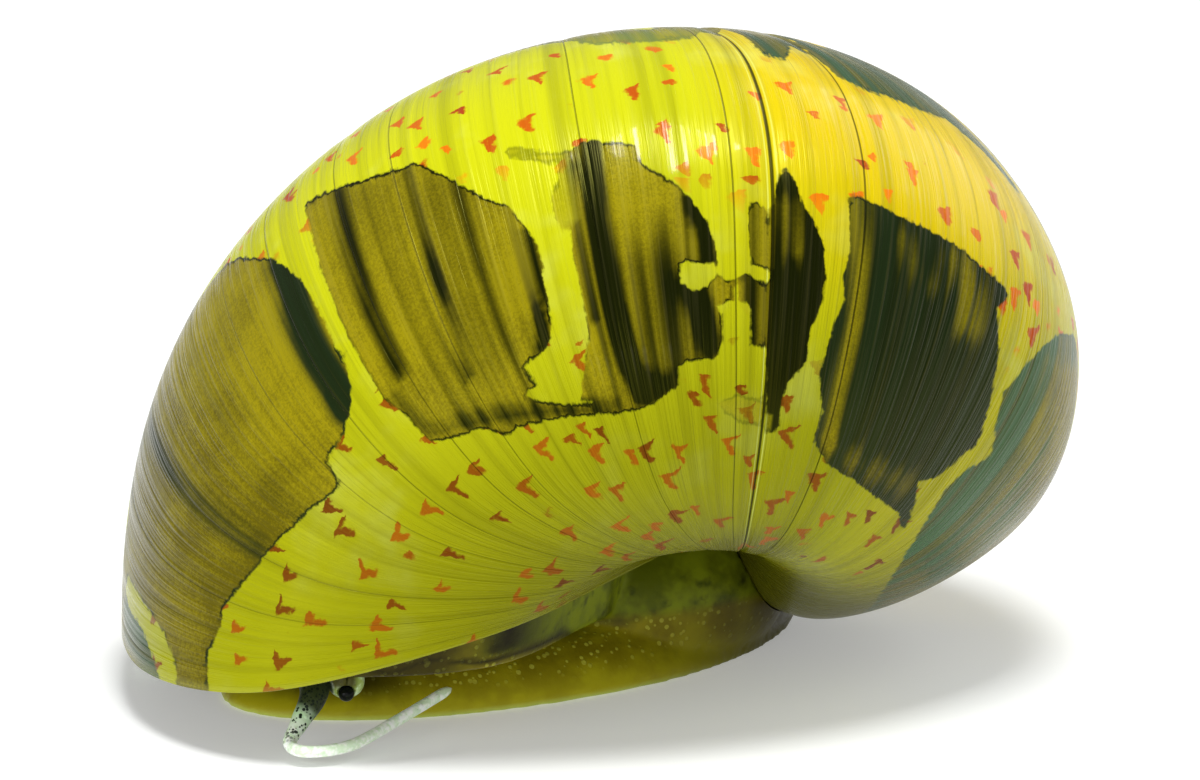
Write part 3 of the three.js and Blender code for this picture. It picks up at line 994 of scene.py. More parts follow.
@dataclass(frozen=True)
class ShellFinish:
    """Satin lime-yellow shell with olive patches, dark streaks and red-brown flecks, with painted shade low
    down and under the shell, painted highlights beside the deepest groove and a painted teal sheen.
    """

    lime: Colour = (0.56, 0.58, 0.006, 1.0)
    # deep_lime is a darker lime, both for the random growth shading and for the painted shade low down and
    # near the fold.
    deep_lime: Colour = (0.125, 0.125, 0.002, 1.0)
    # callus is a painted shade: a near-black olive laid on the underside by the callus and the fold, not the
    # shell's own colour.
    callus: Colour = (0.05, 0.05, 0.003, 1.0)
    gold: Colour = (0.70, 0.51, 0.002, 1.0)
    # pale serves the pale mottle and the lip's rim, and also the painted highlights beside the deepest
    # groove.
    pale: Colour = (0.72, 0.80, 0.20, 1.0)
    olive: Colour = (0.105, 0.085, 0.003, 1.0)
    light_olive: Colour = (0.27, 0.225, 0.004, 1.0)
    black: Colour = (0.005, 0.007, 0.001, 1.0)
    # teal is a painted sheen: the teal reflection on dark patches near the shell's edges.
    painted_teal_sheen: Colour = (0.038, 0.1, 0.04, 1.0)
    rust: Colour = (0.13, 0.03, 0.002, 1.0)
    bright_rust: Colour = (0.32, 0.09, 0.003, 1.0)
    orange: Colour = (0.75, 0.20, 0.004, 1.0)
    red: Colour = (0.36, 0.04, 0.003, 1.0)
    sheen: Colour = (1.0, 0.98, 0.1, 1.0)
    line_ages: tuple[tuple[float, float, float], ...] = (
        (118.0, 0.34, 1.0), (112.3, 0.14, 0.6), (132.0, 0.18, 0.75), (93.0, 0.12, 0.5), (61.0, 0.12, 0.5),
        (69.0, 0.12, 0.4), (50.0, 0.12, 0.4), (24.0, 0.10, 0.25), (15.0, 0.10, 0.25), (42.0, 0.10, 0.3),
        (171.0, 0.14, 0.35), (214.0, 0.14, 0.4), (262.0, 0.14, 0.4), (306.0, 0.16, 0.5),
    )
    line_core: float = 0.3
    line_darkness: float = 0.9
    line_depth: float = 1.3
    # The twin lines are painted highlights along both edges of the deepest groove.
    twin_distance: float = 2.2
    twin_width: Ramp = Ramp(0.0, 0.6, 0.45, 0.0)
    rust_flecks: Flecks = Flecks(cell=1.02, reach=0.24, width=0.24, opening=1.1, tail=1.6)
    amber_flecks: Flecks = Flecks(cell=1.05, reach=0.27, width=0.32, opening=0.7, tail=0.3)
    mottle_cloud: Cloud = Cloud(420.0, 3.0, 0.6)
    wave_cloud: Cloud = Cloud(1600.0)
    crumb_cloud: Cloud = Cloud(6000.0)
    grain_cloud: Cloud = Cloud(14000.0, 2.0, 0.7)
    tooth_height: float = 0.16
    wave_height: float = 0.16
    crumb_height: float = 0.12
    patch_edge: Ramp = Ramp(-0.03, 0.04)
    dark_edge: Ramp = Ramp(0.02, 0.14, 1.0, 0.0)
    pale_mottle: Ramp = Ramp(0.52, 0.8, 0.0, 0.4)
    deep_shade: Ramp = Ramp(0.42, 0.72, 0.0, 0.35)
    olive_lines: Ramp = Ramp(0.22, 0.42, 0.28, 0.0)
    dark_shade: Ramp = Ramp(0.3, 0.75, -0.18, 0.4)
    light_lines: Ramp = Ramp(0.25, 0.75, 0.1, 0.55)
    light_grain: Ramp = Ramp(0.35, 0.65, -0.15, 0.3)
    light_mottle: Ramp = Ramp(0.35, 0.7, -0.1, 0.35)
    # Painted light on the patches, lighter towards the top.
    painted_light_above: Ramp = Ramp(0.0, 1.0, -0.4, 0.3)
    teal_shade: Ramp = Ramp(0.35, 0.65, 0.5, 1.0)
    dark_glints: Ramp = Ramp(0.5, 0.75, 0.0, 0.12)
    darkening: Ramp = Ramp(0.1, 0.9)
    satin: Ramp = Ramp(0.3, 0.7, 0.16, 0.32)
    wet_lines: Ramp = Ramp(0.5, 0.64, 0.0, 0.5)
    wet_above: Ramp = Ramp(0.75, 1.0)
    relief_strength: float = 0.9
    relief: float = 0.000065

    def lines(self, graph: Graph, age: Socket) -> Socket:
        """Draws the few deep growth lines.

        Args:
            graph: The material's graph.
            age: The surface's age in degrees.

        Returns:
            The lines' strength, from 0 to 1.
        """
        total = None
        for at, half_width, strength in self.line_ages:
            away = graph.size(graph.minus(age, at))
            line = graph.ease(away, self.line_core * half_width, half_width, strength, 0.0)
            total = line if total is None else graph.math("MAXIMUM", total, line)
        return total

    def painted_groove_highlights(self, graph: Graph, age: Socket) -> Socket:
        """Draws painted highlights: pale lines along both sides of the deepest growth line.

        Args:
            graph: The material's graph.
            age: The surface's age in degrees.

        Returns:
            The lines' strength, from 0 to 1.
        """
        deepest, half_width, _ = self.line_ages[0]
        away = graph.size(graph.minus(age, deepest))
        off = graph.size(graph.minus(away, self.twin_distance * half_width))
        width = self.twin_width
        return graph.ease(off, width.low, width.high * half_width, width.start, width.end)

    def ground(self, graph: Graph, fine: Socket, shade: Socket, mottle: Socket) -> Socket:
        """Colours the yellow ground and its flecks, with painted shade low down, near the fold and by the
        callus.

        Args:
            graph: The material's graph.
            fine: The fine growth lines.
            shade: The broad growth shades.
            mottle: A cloudy noise.

        Returns:
            The colour.
        """
        colour = graph.layers(
            self.lime,
            (graph.number("gold"), self.gold),
            (graph.ramp(mottle, self.pale_mottle), self.pale),
            # Painted shade: the lime darker towards the bottom and near the fold.
            (graph.number("low"), self.deep_lime),
            (graph.ramp(shade, self.deep_shade), self.deep_lime),
            (graph.ramp(fine, self.olive_lines), self.olive),
            # Painted shade: the underside darkened at the callus and near the fold.
            (graph.number("painted_shade"), self.callus),
        )
        kinds = (
            (self.rust_flecks, "rust_zone", self.rust, self.bright_rust),
            (self.amber_flecks, "amber_zone", self.orange, self.red),
        )
        for flecks, zone, first, second in kinds:
            mask, chance = flecks.scatter(graph)
            mask = graph.times(mask, graph.number(zone))
            colour = graph.mix(mask, colour, graph.mix(chance, first, second))
        return colour

    def patch(self, graph: Graph, fine: Socket, shade: Socket, mottle: Socket, edge: Socket) -> Socket:
        """Colours the dark patches, lighter towards the top as painted light and with a painted teal sheen
        in places.

        Args:
            graph: The material's graph.
            fine: The fine growth lines.
            shade: The broad growth shades.
            mottle: A cloudy noise.
            edge: The strength of the dark line inside a patch's edge.

        Returns:
            The colour.
        """
        dark = graph.plus(graph.number("tone"), graph.number("streak"))
        dark = graph.plus(dark, graph.ramp(shade, self.dark_shade))
        dark = graph.math("MAXIMUM", dark, edge)
        grain = graph.ramp(graph.clouds(self.grain_cloud), self.light_grain)
        share = graph.plus(graph.ramp(fine, self.light_lines), grain)
        share = graph.plus(share, graph.ramp(mottle, self.light_mottle))
        # Painted light: the patches' olive lighter towards the top of the shell.
        share = graph.plus(share, graph.ramp(graph.number("lit"), self.painted_light_above))
        olive = graph.mix(share, self.olive, self.light_olive)
        # Painted reflection: a teal sheen on the darkest parts of the patches.
        painted_sheen_share = graph.times(graph.number("painted_teal_sheen"), graph.ramp(shade, self.teal_shade))
        deep = graph.mix(painted_sheen_share, self.black, self.painted_teal_sheen)
        deep = graph.mix(graph.ramp(fine, self.dark_glints), deep, self.olive)
        return graph.mix(graph.ramp(dark, self.darkening), olive, deep)

    def outline(self, graph: Graph, fine: Socket) -> Socket:
        """Roughens the patches' outlines with teeth, waves and crumbs.

        Args:
            graph: The material's graph.
            fine: The fine growth lines.

        Returns:
            The depth inside a patch in millimetres.
        """
        teeth = graph.uneven(fine, self.tooth_height)
        waves = graph.uneven(graph.clouds(self.wave_cloud), self.wave_height)
        crumbs = graph.uneven(graph.clouds(self.crumb_cloud), self.crumb_height)
        return graph.plus(graph.number("depth"), graph.plus(teeth, graph.plus(waves, crumbs)))

    def build(self) -> bpy.types.Material:
        """Builds the material.

        Returns:
            The shell's material.
        """
        shine = {"Coat Roughness": 0.08, "Specular IOR Level": 0.15, "Specular Tint": self.sheen}
        material, graph, shader = new_material("shell_satin_patterned", shine)
        age, across = graph.number("age"), graph.number("across")
        lines = graph.group(Effects.growth_lines(), {"Age": age, "Across": across, "Fineness": 1.0})
        fine, shade = lines.outputs["Height"], lines.outputs["Shade"]
        mottle = graph.clouds(self.mottle_cloud)
        depth = self.outline(graph, fine)
        inside = graph.times(graph.ramp(depth, self.patch_edge), graph.number("strength"))
        edge = graph.times(graph.ramp(depth, self.dark_edge), graph.number("edged"))
        groove = self.lines(graph, age)
        colour = graph.layers(
            self.ground(graph, fine, shade, mottle),
            (inside, self.patch(graph, fine, shade, mottle, edge)),
            # Painted highlights beside the deepest groove, left off the patches.
            (graph.times(self.painted_groove_highlights(graph, age), graph.minus(1.0, inside)), self.pale),
            (graph.times(groove, self.line_darkness), self.black),
            (graph.number("rim"), self.pale),
        )
        graph.feed(shader.inputs["Base Color"], colour)
        graph.feed(shader.inputs["Roughness"], graph.ramp(fine, self.satin))
        wet = graph.times(graph.ramp(fine, self.wet_lines), graph.ramp(graph.number("lit"), self.wet_above))
        graph.feed(shader.inputs["Coat Weight"], wet)
        height = graph.minus(fine, graph.times(groove, self.line_depth))
        graph.bump(shader, height, self.relief_strength, self.relief)
        return material


@dataclass(frozen=True)
class ShellZones:
    """Where the shell's colours change and where its shade and light are painted, by age in degrees, share
    across the lip or millimetres.
    """

    gold_age: Ramp = Ramp(104.0, 126.0)
    gold_across: Ramp = Ramp(0.36, 0.58)
    gold_widening: Ramp = Ramp(126.0, 160.0, 0.0, 0.17)
    gold_above: Ramp = Ramp(7.5, 13.0, 0.35, 1.0)
    amber_front: Ramp = Ramp(0.46, 0.5)
    amber_rear: Ramp = Ramp(0.62, 0.66, 1.0, 0.0)
    rust_front: Ramp = Ramp(0.05, 0.12)
    rust_rear: Ramp = Ramp(0.36, 0.42, 1.0, 0.0)
    rust_by_dusk: Ramp = Ramp(0.05, 0.5, 1.0, 0.0)
    # Painted shade: the lime darker low down and near the fold.
    low_shade: Ramp = Ramp(3.0, 15.0, 0.52, 0.0)
    fold_shade: Ramp = Ramp(1.0, 16.0, 0.36, 0.0)
    fold_age: Ramp = Ramp(128.0, 160.0, 1.0, 0.3)
    # Painted shade on the underside, near the fold and at the callus.
    fold_dusk: Ramp = Ramp(0.3, 1.7, 0.35, 0.0)
    callus_shade: Ramp = Ramp(2.0, 6.8, 0.82, 0.0)
    callus_age: Ramp = Ramp(145.0, 185.0)
    # lit is the height up the shell: it paints the patches lighter towards the top as painted light, and
    # keeps the coat's wet streaks up there.
    lit: Ramp = Ramp(3.0, 12.0)
    rim: float = 0.1


@dataclass
class Shell:
    """The coiled shell: its outer wall, its lip and the wall just inside its mouth."""

    growth: Growth
    view: Viewpoint
    lip_steps: int = 150
    chord_steps: int = 18
    fine_until: float = 240.0
    fine_step: float = 1.5
    coarse_step: float = 6.0
    oldest: float = 1320.0
    inner_rings: tuple[tuple[float, float], ...] = (
        (0.10, -0.03), (0.24, 0.02), (0.40, 0.16), (0.58, 0.45), (0.80, 1.0), (1.0, 2.1),
    )
    groove_ages: tuple[tuple[float, float], ...] = ((118.0, 0.10), (132.0, 0.05), (93.0, 0.03), (61.0, 0.03))
    groove_half: float = 1.3
    fold_middle: Point = (-1.1, -7.85, 4.56)
    callus_middle: Point = (3.4, -3.0, 1.6)
    callus_radius: float = 2.3
    callus_swell: float = 0.48
    callus_age: Ramp = Ramp(150.0, 180.0)
    zones: ShellZones = field(default_factory=ShellZones)
    finish: ShellFinish = field(default_factory=ShellFinish)

    def inset(self, loop: Sequence[Vector], inward: float, rise: float) -> list[Vector]:
        """Moves the mouth's edge inwards and up.

        Args:
            loop: The edge.
            inward: How far it moves towards the mouth's middle.
            rise: How far it moves up.

        Returns:
            The moved loop.
        """
        middle = sum(loop, Vector()) / len(loop)
        moved = []
        for place in loop:
            towards = (middle - place).to_2d().normalized().to_3d()
            moved.append(place + towards * inward + Vector((0.0, 0.0, rise)))
        return moved

    def ages(self) -> list[float]:
        """Spaces the rings behind the lip, fine where the photograph looks.

        Returns:
            Their ages in degrees.
        """
        young = [self.fine_step * i for i in range(1, int(self.fine_until / self.fine_step) + 1)]
        steps = int((self.oldest - self.fine_until) / self.coarse_step)
        return young + [self.fine_until + self.coarse_step * i for i in range(1, steps + 1)]

    def build(self) -> bpy.types.Object:
        """Builds the whole shell as one closed skin.

        Returns:
            The shell.
        """
        edge = self.growth.edge_loop(self.lip_steps, self.chord_steps)
        lip = [place for place, _ in edge]
        inner = [self.inset(lip, inward, rise) for inward, rise in reversed(self.inner_rings)]
        ages = self.ages()
        outer = [[self.growth.step(age) @ place for place in lip] for age in ages]
        form = bmesh.new()
        Forms.loft(form, [*inner, lip, *outer])
        form.verts.index_update()
        age_of = np.array([-1.0] * len(inner) + [0.0] + ages)
        order = form.verts.layers.int[Forms.ORDER]
        form.verts.ensure_lookup_table()
        count = len(lip)
        rows = [min(vert.index // count, len(age_of) - 1) for vert in form.verts]
        across = np.array([edge[vert[order]][1] for vert in form.verts])
        bmesh.ops.recalc_face_normals(form, faces=form.faces)
        piece = Forms.finished("shell_wall", form)
        Forms.paint(piece.data, "age", age_of[rows])
        Forms.paint(piece.data, "across", across)
        self.carve(piece.data, age_of[rows])
        self.mark(piece.data, age_of[rows], across)
        piece.data.materials.append(self.finish.build())
        return piece

    def carve(self, mesh: bpy.types.Mesh, age: np.ndarray) -> None:
        """Sinks the deepest growth lines into the wall and swells the callus on its underside.

        Args:
            mesh: The shell's mesh.
            age: The age of each vertex.
        """
        sink = np.zeros(len(age))
        for at, deep in self.groove_ages:
            sink += deep * np.exp(-(((age - at) / self.groove_half) ** 2))
        places = Forms.places(mesh) - Forms.normals(mesh) * sink[:, None]
        reach = np.linalg.norm(places - np.array(self.callus_middle), axis=1) / self.callus_radius
        places[:, 2] -= self.callus_swell * np.exp(-reach**2) * self.callus_age.at(age)
        mesh.vertices.foreach_set("co", (places * MM).ravel())
        mesh.update()

    def mark(self, mesh: bpy.types.Mesh, age: np.ndarray, across: np.ndarray) -> None:
        """Stores the pattern's values on the shell, with the painted shade and light among them.

        Args:
            mesh: The shell's mesh.
            age: The age of each vertex.
            across: The share across the lip of each vertex.
        """
        markings = Markings(self.growth, self.view)
        places, normals = Forms.places(mesh), Forms.normals(mesh)
        pixels = self.view.pixels(places)
        seen = markings.seen(places, normals, age)
        drawn, invented = markings.drawn(pixels), markings.invented(age, across)
        for name, hidden in invented.items():
            Forms.paint(mesh, name, hidden + (drawn[name] - hidden) * seen)
        Forms.paint(mesh, "streak", markings.streaks(pixels) * seen)
        zones = self.zones
        gold = zones.gold_age.at(age) * zones.gold_across.at(across + zones.gold_widening.at(age))
        Forms.paint(mesh, "gold", gold * zones.gold_above.at(places[:, 2]))
        Forms.paint(mesh, "amber_zone", zones.amber_front.at(across) * zones.amber_rear.at(across))
        # Painted shade: darker towards the bottom of the shell and near the fold.
        fold = np.linalg.norm(places - np.array(self.fold_middle), axis=1)
        low = zones.low_shade.at(places[:, 2]) + zones.fold_shade.at(fold) * zones.fold_age.at(age)
        Forms.paint(mesh, "low", np.clip(low, 0.0, 1.0))
        # Painted shade on the underside: darkest at the callus and near the fold.
        callus = np.linalg.norm(places - np.array(self.callus_middle), axis=1)
        painted_shade = zones.callus_shade.at(callus) * zones.callus_age.at(age)
        Forms.paint(mesh, "painted_shade", np.maximum(painted_shade, zones.fold_dusk.at(fold)))
        # The rust flecks fade out where the shade is painted.
        rust = zones.rust_front.at(across) * zones.rust_rear.at(across)
        Forms.paint(mesh, "rust_zone", rust * zones.rust_by_dusk.at(painted_shade))
        Forms.paint(mesh, "lit", zones.lit.at(places[:, 2]))
        Forms.paint(mesh, "rim", np.where(age <= 0, zones.rim, 0.0))
        self.directions(mesh, places, normals)

    def directions(self, mesh: bpy.types.Mesh, places: np.ndarray, normals: np.ndarray) -> None:
        """Stores which way the shell grows older at each place, and the way across that.

        Args:
            mesh: The shell's mesh.
            places: Its vertex places.
            normals: Its vertex normals.
        """
        axis = np.array(self.growth.axis())
        rate = -math.log(self.growth.whorl_ratio) / (2 * math.pi)
        offset = places - np.array(self.growth.apex)
        older = rate * offset - np.cross(axis, offset)
        older /= np.linalg.norm(older, axis=1)[:, None] + 1e-9
        Forms.paint(mesh, "older", older)
        Forms.paint(mesh, "crosswise", np.cross(normals, older))


@dataclass(frozen=True)
class FleshFinish:
    """Moist flesh: brown-olive foot, mottled green mantle and pale spotted feelers, with painted shade where
    the shell overhangs and in the crease, and painted light towards the sole.
    """

    foot: Colour = (0.19, 0.15, 0.003, 1.0)
    # foot_light is a paler foot, for the random mottle and for the painted light towards the sole.
    foot_light: Colour = (0.40, 0.36, 0.006, 1.0)
    grain: Colour = (0.45, 0.43, 0.04, 1.0)
    margin: Colour = (0.50, 0.62, 0.14, 1.0)
    # dusk is a painted shade: the near-black laid where the shell overhangs the flesh and in the crease.
    painted_shade: Colour = (0.012, 0.009, 0.001, 1.0)
    mantle: Colour = (0.095, 0.115, 0.002, 1.0)
    mantle_light: Colour = (0.20, 0.24, 0.004, 1.0)
    mantle_dark: Colour = (0.010, 0.013, 0.002, 1.0)
    cream: Colour = (0.30, 0.40, 0.08, 1.0)
    bright_cream: Colour = (0.62, 0.78, 0.45, 1.0)
    feeler: Colour = (0.66, 0.82, 0.58, 1.0)
    bright_feeler: Colour = (0.93, 0.97, 0.90, 1.0)
    feeler_root: Colour = (0.020, 0.028, 0.005, 1.0)
    feeler_middle: Colour = (0.24, 0.44, 0.17, 1.0)
    dot: Colour = (0.008, 0.014, 0.008, 1.0)
    broad_cloud: Cloud = Cloud(900.0, 3.0, 0.6)
    fine_cloud: Cloud = Cloud(5200.0, 2.0, 0.6)
    blot_cloud: Cloud = Cloud(2100.0, 3.0)
    foot_mottle: Ramp = Ramp(0.35, 0.7, -0.2, 0.35)
    mantle_mottle: Ramp = Ramp(0.38, 0.62)
    mantle_blots: Ramp = Ramp(0.55, 0.78, 0.0, 0.8)
    cup_mottle: Ramp = Ramp(0.4, 0.7)
    feeler_mottle: Ramp = Ramp(0.35, 0.65)
    moist: Ramp = Ramp(0.3, 0.7, 0.36, 0.5)
    dot_scale: float = 11000.0
    dot_size: float = 0.5
    grain_scale: float = 5200.0
    grain_size: float = 0.36
    fine_relief: float = 0.5
    relief_strength: float = 0.5
    relief: float = 0.00005

    def trunk(self, graph: Graph, broad: Socket, grain_share: Socket) -> Socket:
        """Colours the foot, the mantle and the head.

        Args:
            graph: The material's graph.
            broad: A cloudy noise.
            grain_share: The mask of the foot's pale grains.

        Returns:
            The colour.
        """
        # Painted light: the foot lighter towards the sole and darker up under the shell.
        inputs = {0: graph.ramp(broad, self.foot_mottle), 1: graph.number("painted_light_low")}
        share = graph.node("Math", inputs, operation="ADD", use_clamp=True).outputs[0]
        layers = ((share, self.foot_light), (grain_share, self.grain), (graph.number("margin"), self.margin))
        foot = graph.layers(self.foot, *layers)
        mottle = graph.ramp(broad, self.mantle_mottle)
        blots = graph.ramp(graph.clouds(self.blot_cloud), self.mantle_blots)
        mantle = graph.layers(self.mantle, (mottle, self.mantle_light), (blots, self.mantle_dark))
        # Painted shade where the shell overhangs the foot, mantle and head.
        return graph.layers(foot, (graph.number("mantle"), mantle), (graph.number("painted_shade"), self.painted_shade))

    def limbs(self, graph: Graph, trunk: Socket, fine: Socket) -> Socket:
        """Colours the eye stalks and the feelers.

        Args:
            graph: The material's graph.
            trunk: The colour of the rest.
            fine: A fine noise.

        Returns:
            The colour.
        """
        cup = graph.mix(graph.ramp(fine, self.cup_mottle), self.cream, self.bright_cream)
        dots = {"Place": graph.place(), "Scale": self.dot_scale, "Size": self.dot_size}
        dots = graph.group(Effects.speckle(), dots).outputs[0]
        feeler = graph.layers(
            self.feeler,
            (graph.ramp(fine, self.feeler_mottle), self.bright_feeler),
            (graph.number("feeler_middle"), self.feeler_middle),
            (graph.number("feeler_root"), self.feeler_root),
            (graph.times(dots, graph.number("spotted")), self.dot),
        )
        return graph.layers(trunk, (graph.number("cup"), cup), (graph.number("feeler"), feeler))

    def build(self) -> bpy.types.Material:
        """Builds the material.

        Returns:
            The flesh's material.
        """
        shine = {
            "Coat Weight": 0.02, "Coat Roughness": 0.2, "Specular IOR Level": 0.12,
            "Subsurface Weight": 0.08, "Subsurface Scale": 0.0003, "Subsurface Radius": (1.0, 0.8, 0.4),
        }
        material, graph, shader = new_material("flesh_moist_mottled", shine)
        broad, fine = graph.clouds(self.broad_cloud), graph.clouds(self.fine_cloud)
        grains = {"Place": graph.place(), "Scale": self.grain_scale, "Size": self.grain_size}
        grain_share = graph.times(graph.group(Effects.speckle(), grains).outputs[0], graph.number("grainy"))
        trunk = self.trunk(graph, broad, grain_share)
        graph.feed(shader.inputs["Base Color"], self.limbs(graph, trunk, fine))
        graph.feed(shader.inputs["Roughness"], graph.ramp(broad, self.moist))
        height = graph.plus(graph.times(fine, self.fine_relief), grain_share)
        graph.bump(shader, height, self.relief_strength, self.relief)
        return material


@dataclass(frozen=True)
class FleshZones:
    """Where the flesh's colours change and where its shade and light are painted, by share along a feeler or
    by millimetres.
    """

    feeler_reach: Ramp = Ramp(0.42, 0.5, 1.0, 0.0)
    feeler_start: Ramp = Ramp(0.06, 0.1)
    feeler_root: Ramp = Ramp(0.31, 0.37, 0.98, 0.0)
    feeler_green: Ramp = Ramp(0.36, 0.48, 0.6, 0.0)
    feeler_spots: Ramp = Ramp(0.42, 0.58, 1.0, 0.0)
    cup_reach: Ramp = Ramp(0.46, 0.72, 1.0, 0.0)
    cup_above: Ramp = Ramp(0.02, 0.24, 0.0, 0.96)
    cup_behind: Ramp = Ramp(0.1, 0.3, 1.0, 0.0)
    mantle_edge: Ramp = Ramp(-6.0, -2.0, 2.12, 1.62)
    mantle_blend: Ramp = Ramp(-0.17, 0.17)
    mantle_front: Ramp = Ramp(-8.0, -6.4)
    # Painted shade: the mantle darker towards its front, under the lip.
    mantle_dusk: Ramp = Ramp(-6.6, -3.6, 0.99, 0.0)
    # Painted shade along the crease below the mantle's edge.
    crease_half: float = 0.16
    crease_wander: float = 0.25
    crease_end: Ramp = Ramp(-4.2, 0.5, 0.95, 0.0)
    crease_end_wander: float = 2.5
    wander_scale: float = 0.9
    # Painted shade: the foot's tail darker under the shell.
    tail: Ramp = Ramp(-2.5, 4.0, 0.0, 0.85)
    tail_on_mantle: float = 0.5
    margin: Ramp = Ramp(0.02, 0.2, 0.7, 0.0)
    grains: Ramp = Ramp(0.5, 0.9)
    grains_on_tail: float = 0.6
    # Painted light: the foot lighter towards the sole.
    painted_light_low: Ramp = Ramp(0.1, 1.1, 0.95, 0.2)
    # Painted shade: the head and the foot's front darker up under the lip.
    front: Ramp = Ramp(-8.4, -6.6, 0.85, 0.0)
    front_above: Ramp = Ramp(0.35, 0.9)


@dataclass
class Flesh:
    """The soft body as one skin: foot, head, snout, mantle, eye stalks and feelers."""

    growth: Growth
    foot_middle: Point = (-1.95, 0.8, 0.0)
    foot_half_length: float = 8.45
    foot_half_width: float = 4.25
    foot_tail_power: float = 1.4
    foot_height: float = 1.5
    tail_height: float = 0.8
    toe_height: float = 0.9
    foot_sides: int = 96
    tail_start: Ramp = Ramp(-1.5, 4.0)
    toe_start: Ramp = Ramp(-10.5, -7.0, 1.0, 0.0)
    foot_profile: tuple[tuple[float, float], ...] = (
        (0.0, 0.0), (0.10, -0.03), (0.26, 0.06), (0.45, 0.22), (0.65, 0.45), (0.84, 0.8), (0.96, 1.2),
        (1.0, 1.7),
    )
    mantle_inset: float = 1.15
    mantle_step: float = 0.3
    mantle_foot_step: float = 0.35
    mantle_bottom: float = 1.8
    mantle_rise: float = 1.9
    roof_gap: float = 0.05
    neck_middle: Point = (-2.2, 0.8, 1.7)
    neck_radii: Point = (6.4, 2.9, 1.0)
    collar_middle: Point = (1.2, -1.2, 1.6)
    collar_radii: Point = (3.6, 1.9, 2.2)
    head_middle: Point = (-8.4, 0.6, 2.45)
    head_radii: Point = (2.15, 2.7, 0.68)
    snout_middle: Point = (-10.35, 0.6, 1.75)
    snout_radii: Point = (0.95, 1.5, 0.5)
    stalk_root: Point = (-8.9, -1.6, 2.2)
    eye_middle: Point = (-10.1, -3.55, 1.36)
    eye_outward: Point = (-0.5, -0.85, -0.1)
    cup_radius: float = 0.46
    cup_setback: float = 0.38
    cup_rise: float = 0.14
    eye_radius: float = 0.2
    socket_gap: float = 0.035
    socket_shift: float = 0.04
    left_feeler: tuple[Point, ...] = (
        (-9.2, -0.9, 2.4), (-9.75, -1.25, 2.2), (-10.65, -3.0, 1.45), (-11.32, -3.35, 0.8),
        (-11.85, -3.7, 0.42), (-11.75, -4.35, 0.36), (-10.7, -4.6, 0.4), (-9.06, -4.1, 0.6),
        (-7.05, -3.6, 1.0),
    )
    right_feeler: tuple[Point, ...] = (
        (-9.3, 2.0, 2.4), (-9.75, 2.45, 2.2), (-10.2, 3.6, 1.45), (-10.3, 4.7, 0.78), (-9.9, 5.5, 0.47),
        (-8.8, 6.05, 0.38), (-7.3, 6.3, 0.42), (-5.7, 6.3, 0.6), (-4.2, 6.0, 0.9),
    )
    feeler_radii: tuple[tuple[float, float], ...] = (
        (0.0, 0.40), (0.24, 0.38), (0.33, 0.27), (0.42, 0.19), (0.52, 0.155), (0.65, 0.145), (1.0, 0.135),
    )
    feeler_end: float = 0.025
    feeler_end_size: float = 0.12
    stalk_end: float = 0.16
    stalk_end_size: float = 0.03
    stalk_waist: float = 0.8
    stalk_waist_until: float = 0.7
    voxel: float = 0.115
    smoothings: int = 3
    zones: FleshZones = field(default_factory=FleshZones)
    finish: FleshFinish = field(default_factory=FleshFinish)

    def mirrored(self, place: Point, side: Side) -> Point:
        """Returns a left-side place on the wanted side of the head."""
        if side is Side.LEFT:
            return place
        return (place[0], 2 * self.head_middle[1] - place[1], place[2])

    def outward(self, side: Side) -> Vector:
        """Returns the way that a side's eye looks."""
        way = Vector(self.eye_outward).normalized()
        return Vector((way.x, -side.value * way.y, way.z))

    def foot_loops(self) -> list[list[Vector]]:
        """Draws the foot's outline at each height of its side.

        Returns:
            The loops from the sole up.
        """
        loops = []
        for rise, inset in self.foot_profile:
            loop = []
            for i in range(self.foot_sides):
                turn = 2 * math.pi * i / self.foot_sides
                along, side = math.cos(turn), math.sin(turn)
                across = abs(side) ** (self.foot_tail_power if along > 0 else 1.0) * math.copysign(1.0, side)
                x = self.foot_middle[0] + (self.foot_half_length - inset) * along
                y = self.foot_middle[1] + (self.foot_half_width - inset) * across
                height = self.foot_height + (self.tail_height - self.foot_height) * self.tail_start.at(x)
                height += (self.toe_height - self.foot_height) * self.toe_start.at(x)
                loop.append(Vector((x, y, rise * height)))
            loops.append(loop)
        return loops

    def mantle_loops(self) -> list[list[Vector]]:
        """Draws the flesh that fills the shell's mouth.

        Returns:
            The loops from below up.
        """
        lip = [place for place, _ in self.growth.edge_loop(lip_steps=60, chord_steps=12)]
        middle = sum(lip, Vector()) / len(lip)
        inward = [(middle - place).to_2d().normalized().to_3d() for place in lip]
        steps = (self.mantle_foot_step, 0.0, self.mantle_step)
        low, side, top = (
            [place + way * (self.mantle_inset + step) for place, way in zip(lip, inward)] for step in steps
        )
        least = self.mantle_bottom + self.mantle_step
        return [
            [Vector((place.x, place.y, self.mantle_bottom)) for place in low],
            [Vector((place.x, place.y, max(place.z, least))) for place in side],
            [place + Vector((0.0, 0.0, self.mantle_rise)) for place in top],
        ]

    @staticmethod
    def rounded(share: float, length: float, smallest: float) -> float:
        """Rounds off a limb's tip.

        Args:
            share: How far along the limb, from 0 to 1.
            length: The tip's length as a share of the limb.
            smallest: The size at the very end.

        Returns:
            The size there, as a share of the limb's own.
        """
        left = min(1.0, (1 - share) / length)
        return max(math.sqrt(1 - (1 - left) ** 2), smallest)

    def feeler_radius(self, share: float) -> float:
        """Returns a feeler's radius by its share of the way to the tip."""
        body = float(np.interp(share, *zip(*self.feeler_radii)))
        return body * self.rounded(share, self.feeler_end, self.feeler_end_size)

